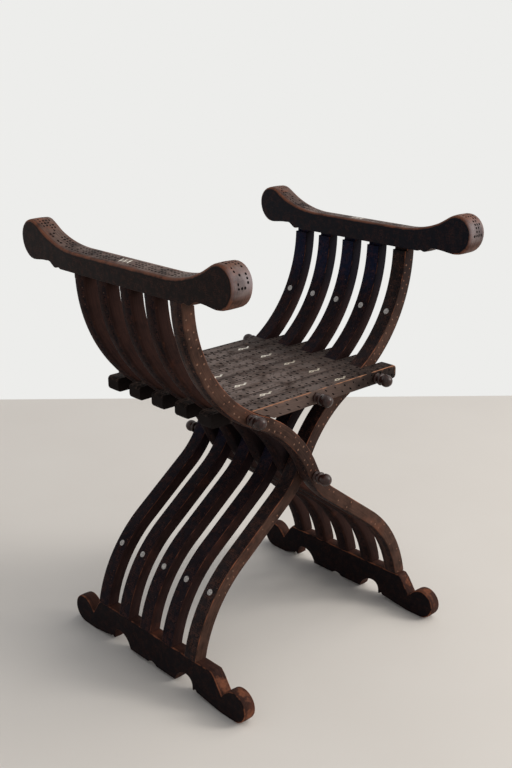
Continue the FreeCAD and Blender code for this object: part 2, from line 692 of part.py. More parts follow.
def knob_profile(edge, start):
    """The collar, neck, bead and ball of a knob on the growing axis, from the wood outwards."""
    edge.line("knob_collar_radius", start)
    edge.line("knob_collar_radius", f"{start} + knob_collar_length")
    edge.line("knob_neck_radius", f"{start} + knob_collar_length")
    edge.line("knob_neck_radius", f"{start} + knob_bead_start")
    edge.line("knob_bead_core", f"{start} + knob_bead_start")
    bead = ("knob_bead_core", f"{start} + knob_bead_start + knob_bead_half")
    edge.arc(bead, "knob_bead_core", f"{start} + knob_bead_end", 1)
    ball = ("0", f"{start} + knob_ball_place")
    edge.arc(ball, "0", f"{start} + knob_ball_place + knob_ball_radius", 1)


def turned(doc, sheet, name, place, draw, backwards):
    """A turned piece about the depth axis, whose half outline is drawn outwards from the wood."""
    body = new_body(doc, name, place)
    sketch = new_sketch(body, f"{name}_half", "XZ_Plane")
    draw(sketch)
    feature = body.newObject("PartDesign::Revolution", "turning")
    feature.Profile = sketch
    feature.ReferenceAxis = (sketch, ["V_Axis"])
    feature.Angle = 360
    doc.recompute()
    turn = Rotation(Vector(1, 0, 0), -90 if backwards else 90)
    body.Placement = Placement(body.Placement.Base, turn)
    return body


def rod(doc, sheet, name, across, height, length):
    """A rod with its front knob, through the layers from the front."""

    def draw(sketch):
        edge = Outline(sheet, sketch, ("0", f"-({length})"))
        edge.line("rod_radius", f"-({length})")
        edge.line("rod_radius", "knob_gap")
        knob_profile(edge, "knob_gap")
        edge.close()

    return turned(doc, sheet, name, (across, "-pack_half", height), draw, False)


def back_knob(doc, sheet, name, across, height, socket=True):
    """A knob on the back: it takes a rod's end in its socket, or sits in the last plank on a peg."""

    def draw(sketch):
        start = "0" if not socket else "knob_gap + knob_socket"
        edge = Outline(sheet, sketch, ("0", start if socket else "-knob_peg"))
        if socket:
            edge.line("hole_radius", start)
            edge.line("hole_radius", "knob_gap")
            knob_profile(edge, "knob_gap")
        else:
            edge.line("rod_radius", "-knob_peg")
            edge.line("rod_radius", "0")
            knob_profile(edge, "0")
        edge.close()

    return turned(doc, sheet, name, (across, "pack_half", height), draw, True)


def build(doc):
    """All pieces, each a named object of the document."""
    sheet = make_sheet(doc)
    odd = [2 * number - 1 for number in range(1, STAVES + 1)]
    even = [2 * number for number in range(1, STAVES + 1)]
    pieces = []
    for side, hand, layers in ((1, "left", odd), (-1, "right", even)):
        for number, layer in enumerate(layers, 1):
            pieces.append(stave(doc, sheet, f"{hand}_stave_{number}", layer, side))
        pieces.append(arm(doc, sheet, f"{hand}_arm", side, f"{hand}_arm_reach_back", layers))
        for which in ("upper", "lower"):
            pieces.append(disc_group(doc, sheet, f"{hand}_stave_{which}_discs", layers, side, which))
        top = "arm_height + arm_thickness"
        pieces.append(inlay_group(doc, sheet, f"{hand}_arm_inlay", [((flipped("arm_x", side), "0", top), "y")]))
    for side, hand, layers in ((1, "right", odd), (-1, "left", even)):
        for number, layer in enumerate(layers, 1):
            pieces.append(plank(doc, sheet, f"{hand}_plank_{number}", layer, side))
        pieces.append(foot(doc, sheet, f"{hand}_foot", side, f"{hand}_foot_reach_back", layers))
        across = flipped("hinge_x - lozenge_place", side)
        places = [((across, layer_place(layer), "hinge_height + plank_rise"), "x") for layer in layers]
        pieces.append(inlay_group(doc, sheet, f"{hand}_plank_inlays", places))
    through = "2 * pack_half + knob_gap + knob_socket"
    short = "2 * pack_half - notch_skin - rod_end_air"
    rods = [
        ("crossing_rod", "0", "pivot_height"),
        ("middle_rod", "0", "hinge_height"),
        ("right_hinge_rod", "hinge_x", "hinge_height"),
    ]
    for name, across, height in rods:
        pieces.append(rod(doc, sheet, name, across, height, through))
        pieces.append(back_knob(doc, sheet, f"{name}_back_knob", across, height))
    pieces.append(rod(doc, sheet, "left_hinge_rod", "-hinge_x", "hinge_height", short))
    pieces.append(back_knob(doc, sheet, "left_hinge_back_knob", "-hinge_x", "hinge_height", socket=False))
    return pieces


def main():
    doc = FreeCAD.newDocument("savonarola_chair")
    pieces = build(doc)
    doc.recompute()
    failed = [item.Name for item in doc.Objects if {"Invalid", "Error"} & set(item.State)]
    if failed:
        raise RuntimeError(f"failed objects: {failed}")
    for piece in pieces:
        if piece.Shape.isNull() or not piece.Shape.isValid():
            raise RuntimeError(f"bad shape: {piece.Label}")
    os.makedirs("parts", exist_ok=True)
    for piece in pieces:
        piece.Shape.exportStep(os.path.join("parts", piece.Label + ".step"))
        box = piece.Shape.BoundBox
        corners = (box.XMin, box.XMax, box.YMin, box.YMax, box.ZMin, box.ZMax)
        print(piece.Label, len(piece.Shape.Solids), *(round(corner, 1) for corner in corners))


main()
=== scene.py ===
"""Looks of a folding savonarola chair: carved staves, seat planks, scrolled arms, feet and turned rods."""

import json
import logging
import math
import random
from collections.abc import Callable, Sequence
from dataclasses import dataclass, replace
from enum import Enum
from functools import partial

import bmesh
import bpy
from mathutils import Matrix, Vector


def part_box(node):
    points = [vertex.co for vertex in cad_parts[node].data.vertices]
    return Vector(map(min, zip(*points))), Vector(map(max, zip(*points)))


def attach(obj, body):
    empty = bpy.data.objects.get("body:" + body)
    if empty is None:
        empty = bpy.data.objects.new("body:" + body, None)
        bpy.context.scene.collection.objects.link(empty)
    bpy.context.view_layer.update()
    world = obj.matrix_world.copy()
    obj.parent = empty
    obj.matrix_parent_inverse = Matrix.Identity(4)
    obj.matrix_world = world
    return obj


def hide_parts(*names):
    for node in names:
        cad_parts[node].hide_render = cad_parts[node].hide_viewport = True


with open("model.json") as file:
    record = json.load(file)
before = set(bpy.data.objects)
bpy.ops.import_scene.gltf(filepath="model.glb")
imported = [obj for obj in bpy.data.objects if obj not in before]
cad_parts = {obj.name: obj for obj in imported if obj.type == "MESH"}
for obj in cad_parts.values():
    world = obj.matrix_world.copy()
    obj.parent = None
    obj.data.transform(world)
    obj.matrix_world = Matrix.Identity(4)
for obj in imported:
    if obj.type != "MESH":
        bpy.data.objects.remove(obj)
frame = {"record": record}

log = logging.getLogger("savonarola_chair")

MM = 0.001
LAYERS = 5
CHART = "Carving"
UNIT_CHART = ((0, 0), (1, 0), (1, 1), (0, 1))
LAYER_PITCH = 31.4
HALF_LAYER = 15.1

Pair = tuple[float, float]
Place = tuple[float, float, float]
Placing = Callable[[float, float], Place]


class Face(Enum):
    """The sides of a bar, and the rounded arrises between them."""

    FRONT = "front"
    TOP = "top"
    BACK = "back"
    BOTTOM = "bottom"
    ARRIS = "arris"


class Mark(Enum):
    """What the chisel or the inlayer left in a spot of a surface."""

    WOOD = 0
    HOLE = 1
    BONE = 2


@dataclass(frozen=True)
class Pit:
    """A small mark set in one cell of a surface, placed and sized in shares of the cell.

    Args:
        half_along: Half its length.
        half_across: Half its width.
        depth: How deep it goes, in millimetres.
        square: 0 for a round mark, 1 for a pointed lozenge.
        mark: What fills it.
        swing: How far marks of this kind may be turned in the surface, in radians.
        along: Place of its middle along the cell.
        across: Place of its middle across the cell.
        turn: How far this mark is turned, in radians.
    """

    half_along: float
    half_across: float
    depth: float
    square: float = 0.0
    mark: Mark = Mark.HOLE
    swing: float = 0.0
    along: float = 0.5
    across: float = 0.5
    turn: float = 0.0


PitRule = Callable[[Face, int, int, float], Pit | None]


def bare(side: Face, row: int, column: int, along: float) -> Pit | None:
    """No mark anywhere."""
    return None


def linear(code: str) -> tuple[float, float, float, float]:
    """The linear colour of an sRGB hex code.

    Args:
        code: Six hex digits after a number sign.

    Returns:
        Red, green, blue and full opacity for a shader socket.
    """
    parts = [int(code[i : i + 2], 16) / 255 for i in (1, 3, 5)]
    red, green, blue = [c / 12.92 if c <= 0.04045 else ((c + 0.055) / 1.055) ** 2.4 for c in parts]
    return red, green, blue, 1.0


def mix(low: float, high: float, share: float) -> float:
    """The value a share of the way from low to high."""
    return low + (high - low) * share


def clamp(value: float) -> float:
    """The value kept between 0 and 1."""
    return min(1.0, max(0.0, value))


class Skin:
    """Collects the points and faces of one mesh, with the marks that its finish reads."""

    RING = 8
    RING_START = 202.5
    CREASE = math.radians(38)

    def __init__(self) -> None:
        """Starts an empty skin."""
        self.places: list[Vector] = []
        self.wear: list[float] = []
        self.faces: list[tuple[int, ...]] = []
        self.charts: list[tuple[Pair, ...]] = []
        self.marks: list[int] = []
        self.carved: list[float] = []
        self.sharp: set[tuple[int, int]] = set()

    def point(self, place: Sequence[float], wear: float = 0.0) -> int:
        """Adds a point.

        Args:
            place: Where it is, in millimetres.
            wear: How worn the wood is there, 0 to 1.

        Returns:
            The point's number.
        """
        self.places.append(Vector(place) * MM)
        self.wear.append(wear)
        return len(self.places) - 1

    def face(
        self,
        corners: Sequence[int],
        chart: Sequence[Pair],
        mark: Mark = Mark.WOOD,
        carved: float = 0.0,
    ) -> None:
        """Adds a face.

        Args:
            corners: Numbers of its points.
            chart: Distance along and across the piece at each corner, in millimetres.
            mark: What the face shows.
            carved: How much fine carving it has, 0 to 1.
        """
        self.faces.append(tuple(corners))
        self.charts.append(tuple((a * MM, b * MM) for a, b in chart))
        self.marks.append(mark.value)
        self.carved.append(carved)

    def band(self, low: Sequence[int], high: Sequence[int]) -> None:
        """Joins two closed rings of points by four-sided faces.

        Args:
            low: Numbers of the first ring's points.
            high: Numbers of the second ring's points.
        """
        for number in range(len(low)):
            after = (number + 1) % len(low)
            self.face((low[number], low[after], high[after], high[number]), UNIT_CHART)

    def cap(self, ring: Sequence[int]) -> None:
        """Closes a ring of points with one face."""
        self.face(ring, [(0.0, 0.0)] * len(ring))

    def cell(
        self,
        corners: Sequence[int],
        chart: Sequence[Pair],
        pit: Pit | None,
        inward: Vector,
        carved: float = 0.0,
    ) -> None:
        """Adds a four-sided cell, with a mark sunk into it if it has one.

        Args:
            corners: Numbers of its four points, the first two going along the piece.
            chart: Distance along and across at each corner, in millimetres.
            pit: The mark, or None.
            inward: Unit vector into the wood.
            carved: How much fine carving it has, 0 to 1.
        """
        if pit is None:
            self.face(corners, chart, carved=carved)
            return
        ring, ring_chart = [], []
        for number in range(self.RING):
            angle = math.radians(self.RING_START + 360 / self.RING * number)
            reach = 1 / mix(1, abs(math.cos(angle)) + abs(math.sin(angle)), pit.square)
            a = pit.half_along * reach * math.cos(angle)
            b = pit.half_across * reach * math.sin(angle)
            c, s = math.cos(pit.turn), math.sin(pit.turn)
            share = (pit.along + a * c - b * s, pit.across + a * s + b * c)
            ring.append(self._inside(corners, share, Vector((0, 0, 0))))
            ring_chart.append(self._charted(chart, share))
        middle = (pit.along, pit.across)
        bottom = self._inside(corners, middle, inward * (pit.depth * MM))
        bottom_chart = self._charted(chart, middle)
        for number in range(4):
            after = (number + 1) % 4
            left, right = 2 * number, 2 * number + 1
            beyond = (right + 1) % self.RING
            self.face(
                (corners[number], ring[right], ring[left]),
                (chart[number], ring_chart[right], ring_chart[left]),
                carved=carved,
            )
            self.face(
                (corners[number], corners[after], ring[beyond], ring[right]),
                (chart[number], chart[after], ring_chart[beyond], ring_chart[right]),
                carved=carved,
            )
        for number in range(self.RING):
            after = (number + 1) % self.RING
            self.face(
                (ring[number], ring[after], bottom),
                (ring_chart[number], ring_chart[after], bottom_chart),
                pit.mark,
            )
            self.sharp.add(tuple(sorted((ring[number], ring[after]))))

    @staticmethod
    def _weights(share: Pair) -> tuple[float, float, float, float]:
        """How much each corner of a cell counts at a place inside it."""
        a, b = share
        return (1 - a) * (1 - b), a * (1 - b), a * b, (1 - a) * b

    def _inside(self, corners: Sequence[int], share: Pair, shift: Vector) -> int:
        """Adds a point inside a cell.

        Args:
            corners: Numbers of the cell's four points.
            share: Where it is along and across the cell.
            shift: How far it is moved off the cell, in metres.

        Returns:
            The point's number.
        """
        weights = self._weights(share)
        place = sum((self.places[c] * w for c, w in zip(corners, weights)), Vector((0, 0, 0))) + shift
        self.places.append(place)
        self.wear.append(sum(self.wear[c] * w for c, w in zip(corners, weights)))
        return len(self.places) - 1

    def _charted(self, chart: Sequence[Pair], share: Pair) -> Pair:
        """The chart coordinates of a place inside a cell.

        Args:
            chart: Those of the cell's four corners.
            share: Where the place is along and across the cell.

        Returns:
            Distance along and across the piece.
        """
        weights = self._weights(share)
        return (
            sum(c[0] * w for c, w in zip(chart, weights)),
            sum(c[1] * w for c, w in zip(chart, weights)),
        )

    def build(
        self,
        name: str,
        finish: bpy.types.Material,
        shade: Callable[[Vector], float] = lambda place: 0.0,
    ) -> bpy.types.Object:
        """Makes the mesh object.

        Args:
            name: Its name.
            finish: Its material.
            shade: How much old soiling and painted shade lie at a place given in millimetres, below 0 where
                a grey painted highlight goes.

        Returns:
            The object, linked to the scene.
        """
        mesh = bpy.data.meshes.new(name)
        mesh.from_pydata([tuple(p) for p in self.places], [], self.faces)
        chart = mesh.uv_layers.new(name=CHART)
        flat = [value for corner in self.charts for pair in corner for value in pair]
        chart.data.foreach_set("uv", flat)
        sharp = [tuple(sorted(edge.vertices)) in self.sharp for edge in mesh.edges]
        marks = (
            ("Wear", "FLOAT", "POINT", self.wear),
            ("Shade", "FLOAT", "POINT", [shade(place / MM) for place in self.places]),
            ("Mark", "FLOAT", "FACE", [float(mark) for mark in self.marks]),
            ("Carved", "FLOAT", "FACE", self.carved),
            ("sharp_edge", "BOOLEAN", "EDGE", sharp),
        )
        for title, kind, domain, values in marks:
            mesh.attributes.new(title, kind, domain).data.foreach_set("value", values)
        mesh.polygons.foreach_set("use_smooth", [True] * len(mesh.polygons))
        self._settle(mesh)
        mesh.materials.append(finish)
        thing = bpy.data.objects.new(name, mesh)
        bpy.context.scene.collection.objects.link(thing)
        return thing

    @classmethod
    def _settle(cls, mesh: bpy.types.Mesh) -> None:
        """Turns every face outwards, splits faces of many corners and keeps steep edges sharp.

        Args:
            mesh: The mesh to work on.
        """
        work = bmesh.new()
        work.from_mesh(mesh)
        bmesh.ops.recalc_face_normals(work, faces=work.faces)
        wide = [f for f in work.faces if len(f.verts) > 4]
        bmesh.ops.triangulate(work, faces=wide)
        for edge in work.edges:
            if len(edge.link_faces) == 2 and edge.calc_face_angle(0) > cls.CREASE:
                edge.smooth = False
        work.to_mesh(mesh)
        work.free()


@dataclass(frozen=True)
class Spot:
    """One point of a section.

    Args:
        high: Its height on the section, in millimetres.
        deep: Its depth on the section.
        wear: How rubbed the wood is there, 0 to 1.
        side: The side that starts here.
        across: Its distance from the middle of that side.
    """

    high: float
    deep: float
    wear: float
    side: Face
    across: float


@dataclass(frozen=True)
class Section:
    """Rounded rectangle across a bar, in millimetres.

    Args:
        low: Its lower edge.
        high: Its upper edge.
        half_depth: Half its size along the depth of the chair.
        corners: Radii of the arrises at the front top, back top, back bottom and front bottom.
        worn: How rubbed each of these arrises is, 0 to 1.
        crown: How far the middle of the top stands above its edges.
        belly: How far the middle of the bottom hangs below its edges.
        rows_beside: Cells up the front and back.
        rows_above: Cells across the top and bottom.
        beside: How much of an arris's wear reaches the flats beside it.
    """

    low: float
    high: float
    half_depth: float
    corners: tuple[float, float, float, float]
    worn: tuple[float, float, float, float]
    crown: float = 0.5
    belly: float = 0.5
    rows_beside: int = 2
    rows_above: int = 3
    beside: float = 0.3

    def loop(self) -> list[Spot]:
        """The points round the section.

        Returns:
            The points of the front first, then those of the top, back and bottom.
        """
        spots: list[Spot] = []
        one, two, three, four = self.corners
        half = self.half_depth
        turns = (
            (self.high - self.crown - one, one - half),
            (self.high - self.crown - two, half - two),
            (self.low + self.belly + three, half - three),
            (self.low + self.belly + four, four - half),
        )
        walks = (
            (Face.FRONT, (turns[3][0], -half), (turns[0][0], -half), self.rows_beside, 0.0),
            (Face.TOP, (self.high, turns[0][1]), (self.high, turns[1][1]), self.rows_above, -self.crown),
            (Face.BACK, (turns[1][0], half), (turns[2][0], half), self.rows_beside, 0.0),
            (Face.BOTTOM, (self.low, turns[2][1]), (self.low, turns[3][1]), self.rows_above, self.belly),
        )
        for number, ((face, start, end, count, sag), centre) in enumerate(zip(walks, turns)):
            span = math.dist(start, end)
            before, after = self.beside * self.worn[number - 1], self.beside * self.worn[number]
            for step in range(count):
                share = step / count
                bend = sag * (2 * share - 1) ** 2
                place = (mix(start[0], end[0], share) + bend, mix(start[1], end[1], share))
                spots.append(Spot(*place, 0.0 if step else before, face, (share - 0.5) * span))
            spots.append(Spot(end[0] + sag, end[1], after, Face.ARRIS, span / 2))
            radius = self.corners[number]
            for turn in (30, 60):
                angle = math.radians(90 * number + turn)
                place = (centre[0] + radius * math.sin(angle), centre[1] - radius * math.cos(angle))
                run = span / 2 + radius * math.radians(turn)
                spots.append(Spot(*place, self.worn[number], Face.ARRIS, run))
        return spots


@dataclass(frozen=True)
class Row:
    """One station of a bar: its distance along, and where a point of the section comes to lie there."""

    along: float
    place: Placing
    wear: float = 0.0


def sweep(
    skin: Skin,
    rows: Sequence[Row],
    section: Section,
    rule: PitRule = bare,
    carved: Callable[[Face, int], float] = lambda side, column: 0.0,
) -> None:
    """Carries a section along a bar and closes both ends.

    Args:
        skin: Where the faces go.
        rows: The stations.
        section: What is carried.
        rule: Which mark each cell has.
        carved: How much fine carving each side has.
    """
    spots = section.loop()
    count = len(spots)
    grid = [[skin.point(row.place(s.high, s.deep), max(s.wear, row.wear)) for s in spots] for row in rows]
    for number in range(len(rows) - 1):
        near, far = rows[number], rows[number + 1]
        here, there = grid[number], grid[number + 1]
        core = sum((skin.places[p] for p in here), Vector((0, 0, 0))) / count
        columns: dict[Face, int] = {}
        for this in range(count):
            after = (this + 1) % count
            spot = spots[this]
            column = columns.get(spot.side, 0)
            columns[spot.side] = column + 1
            corners = (here[this], there[this], there[after], here[after])
            width = math.dist((spot.high, spot.deep), (spots[after].high, spots[after].deep))
            across = (spot.across, spot.across + width)
            chart = (
                (near.along, across[0]),
                (far.along, across[0]),
                (far.along, across[1]),
                (near.along, across[1]),
            )
            pit = None if spot.side is Face.ARRIS else rule(spot.side, number, column, near.along)
            a, b, c, d = (skin.places[p] for p in corners)
            inward = (c - a).cross(d - b).normalized()
            if inward.dot((a + c) / 2 - core) > 0:
                inward.negate()
            skin.cell(corners, chart, pit, inward, carved(spot.side, column))
    for ring in (grid[0], grid[-1]):
        skin.face(ring, [(s.high, s.deep) for s in spots])
        for this in range(count):
            skin.sharp.add(tuple(sorted((ring[this], ring[(this + 1) % count]))))


@dataclass(frozen=True)
class Bend:
    """A run of a stave's middle line, an arc or, without a radius, a straight.

    Args:
        centre: Centre of the arc, or start of the straight, across and up from the crossing.
        radius: Radius of the arc, 0 for a straight.
        first: Downward slope where the run starts, in degrees.
        last: Downward slope where it ends.
        hollow: True if the arc's centre is on the upper side.
        length: Length of a straight.
    """

    centre: Pair
    radius: float
    first: float
    last: float
    hollow: bool
    length: float = 0.0

    def point(self, share: float, off: float, last: float | None = None) -> Pair:
        """A point of the run or beside it.

        Args:
            share: How far along the run it is.
            off: How far it lies to the upper side, in millimetres.
            last: Another slope for the run to end at, if any.

        Returns:
            Its place across and up from the crossing.
        """
        slope = math.radians(mix(self.first, self.last if last is None else last, share))
        x, z = self.centre
        if self.radius:
            reach = off - self.radius if self.hollow else off + self.radius
            return x + reach * math.sin(slope), z + reach * math.cos(slope)
        run = share * self.length
        across = x + run * math.cos(slope) + off * math.sin(slope)
        return across, z - run * math.sin(slope) + off * math.cos(slope)

    def span(self) -> float:
        """Length of the run's middle line."""
        return self.length or self.radius * math.radians(abs(self.last - self.first))


@dataclass(frozen=True)
class StaveCurve:
    """The S-curve of a stave from the arm through the crossing to the foot, in millimetres and degrees."""

    bowl_radius: float = 253.0
    hump_radius: float = 233.0
    waist_radius: float = 155.0
    ankle_radius: float = 247.0
    shin_length: float = 132.0
    pivot_slope: float = 61.0
    waist_upper_angle: float = 4.8
    waist_lower_angle: float = 23.8
    hump_angle: float = 41.7
    ankle_angle: float = 41.6
    foot_height: float = 68.0
    half_width: float = 13.5
    notch_depth: float = 6.0
    notch_height: float = 8.0
    notch_edge: float = 0.3
    step: float = 7.4

    def bends(self) -> list[Bend]:
        """The runs from the arm to the foot.

        Returns:
            Bowl, hump, waist, shin and ankle.
        """
        top = self.pivot_slope + self.waist_upper_angle
        hump_top = top - self.hump_angle
        shin = self.pivot_slope - self.waist_lower_angle
        foot = shin + self.ankle_angle
        waist = self._step((0, 0), self.waist_radius, self.pivot_slope)
        hump = self._step(waist, -(self.waist_radius + self.hump_radius), top)
        bowl = self._step(hump, self.hump_radius + self.bowl_radius, hump_top)
        start = self._step(waist, -self.waist_radius, shin)
        slope = math.radians(shin)
        end = (start[0] + self.shin_length * math.cos(slope), start[1] - self.shin_length * math.sin(slope))
        ankle = self._step(end, -self.ankle_radius, shin)
        return [
            Bend(bowl, self.bowl_radius, 90, hump_top, True),
            Bend(hump, self.hump_radius, hump_top, top, False),
            Bend(waist, self.waist_radius, top, shin, True),
            Bend(start, 0, shin, shin, False, self.shin_length),
            Bend(ankle, self.ankle_radius, shin, foot, False),
        ]

    @staticmethod
    def _step(origin: Pair, reach: float, slope: float) -> Pair:
        """The point reach away from origin on the upper side of a line of that slope."""
        angle = math.radians(slope)
        return origin[0] + reach * math.sin(angle), origin[1] + reach * math.cos(angle)

    def pivot_height(self) -> float:
        """Height of the crossing above the floor."""
        return self.foot_height - self.bends()[-1].point(1, 0)[1]

    def rows(self, side: int, depth: float) -> list[Row]:
        """The stations of a stave, narrowed by a notch at its upper end.

        Args:
            side: 1 for a left stave, -1 for its mirror image.
            depth: Middle of its layer along the depth of the chair.

        Returns:
            The stations from the arm to the foot.
        """
        rise = self.pivot_height()
        bends = self.bends()
        full = 2 * self.half_width
        rows: list[Row] = []
        along = 0.0

        def station(bend: Bend, share: float, narrow: bool) -> Placing:
            """Where the section's points come to lie at one station.

            Args:
                bend: The run it is on.
                share: How far along that run.
                narrow: True in the notch.

            Returns:
                The rule that places a point.
            """

            def place(high: float, deep: float) -> Place:
                """One point of the section in the chair's frame.

                Args:
                    high: Its height on the section.
                    deep: Its depth on the section.

                Returns:
                    Its place in millimetres.
                """
                off = high
                if narrow:
                    off = (high + self.half_width) * (full - self.notch_depth) / full - self.half_width
                last = None
                if bend is bends[-1]:
                    drop = (self.foot_height - rise - bend.centre[1]) / (bend.radius + off)
                    last = math.degrees(math.acos(drop))
                x, z = bend.point(share, off, last)
                return side * x, depth + deep, z + rise

            return place

        span = bends[0].span()
        inside = self.notch_height - self.notch_edge
        for reach, narrow in ((0.0, True), (inside, True), (self.notch_height, False)):
            rows.append(Row(reach, station(bends[0], reach / span, narrow)))
        for bend in bends:
            span = bend.span()
            count = max(1, round(span / self.step))
            for number in range(1, count + 1):
                share = number / count
                if along + share * span > self.notch_height + 1:
                    rows.append(Row(along + share * span, station(bend, share, False)))
            along += span
        return rows


def layer_depth(layer: int) -> float:
    """Middle of a layer along the depth of the chair, layer 1 in front, in millimetres."""
    return (layer - (2 * LAYERS + 1) / 2) * LAYER_PITCH


class Hand(Enum):
    """The two frames of the chair, named for where their arm is."""

    LEFT = "left"
    RIGHT = "right"

    @property
    def side(self) -> int:
        """1 for the left frame, -1 for its mirror image."""
        return 1 if self is Hand.LEFT else -1

    def layer(self, number: int) -> int:
        """The layer of this frame's stave of that number."""
        return 2 * number - (1 if self is Hand.LEFT else 0)

    def plank_layer(self, number: int) -> int:
        """The layer of this side's plank of that number."""
        return 2 * number - (1 if self is Hand.RIGHT else 0)

    @property
    def body(self) -> str:
        """The moving body this frame rides on."""
        return f"{self.value}_frame"

    @property
    def planks(self) -> str:
        """The moving body of the planks hinged on this side."""
        return f"{self.value}_planks"


def hand_over(thing: bpy.types.Object, node: str, body: str) -> None:
    """Lets a finished piece stand for a node of the frame.

    Args:
        thing: The piece.
        node: The node it replaces.
        body: The moving body it rides on.
    """
    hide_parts(node)
    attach(thing, body)
    log.info("%s: %d faces for %s", thing.name, len(thing.data.polygons), node)


def add(
    tree: bpy.types.NodeTree,
    kind: str,
    inputs: Sequence[object] | dict[str | int, object] = (),
    output: str | int = 0,
    **settings: object,
) -> bpy.types.NodeSocket | None:
    """Adds a shader node, sets its properties and fills its inputs.

    Args:
        tree: The material's node tree.
        kind: The node's type, without the prefix that all have.
        inputs: Values, hex colours or output sockets, in the order of the inputs or by name or number.
        output: Which output is wanted.
        settings: Properties by name.

    Returns:
        That output, or None for a node that has none.
    """
    node = tree.nodes.new(f"ShaderNode{kind}")
    for key, value in settings.items():
        setattr(node, key, value)
    for key, value in inputs.items() if isinstance(inputs, dict) else enumerate(inputs):
        if isinstance(value, bpy.types.NodeSocket):
            tree.links.new(value, node.inputs[key])
        else:
            node.inputs[key].default_value = linear(value) if isinstance(value, str) else value
    return node.outputs[output] if node.outputs else None


@dataclass(frozen=True)
class Finish:
    """What covers a piece."""

    name: str

    def make(self) -> bpy.types.Material:
        """Builds the material.

        Returns:
            The material, ready to be laid on a mesh.
        """
        material = bpy.data.materials.new(self.name)
        material.use_nodes = True
        tree = material.node_tree
        tree.nodes.clear()
        place = add(tree, "TexCoord", output="Object")
        shader = add(tree, "BsdfPrincipled", self.surface(tree, place))
        add(tree, "OutputMaterial", (shader,))
        return material

    def surface(self, tree: bpy.types.NodeTree, place: bpy.types.NodeSocket) -> dict[str, object]:
        """What goes into the shader, by input; each kind of finish says it."""
        raise NotImplementedError


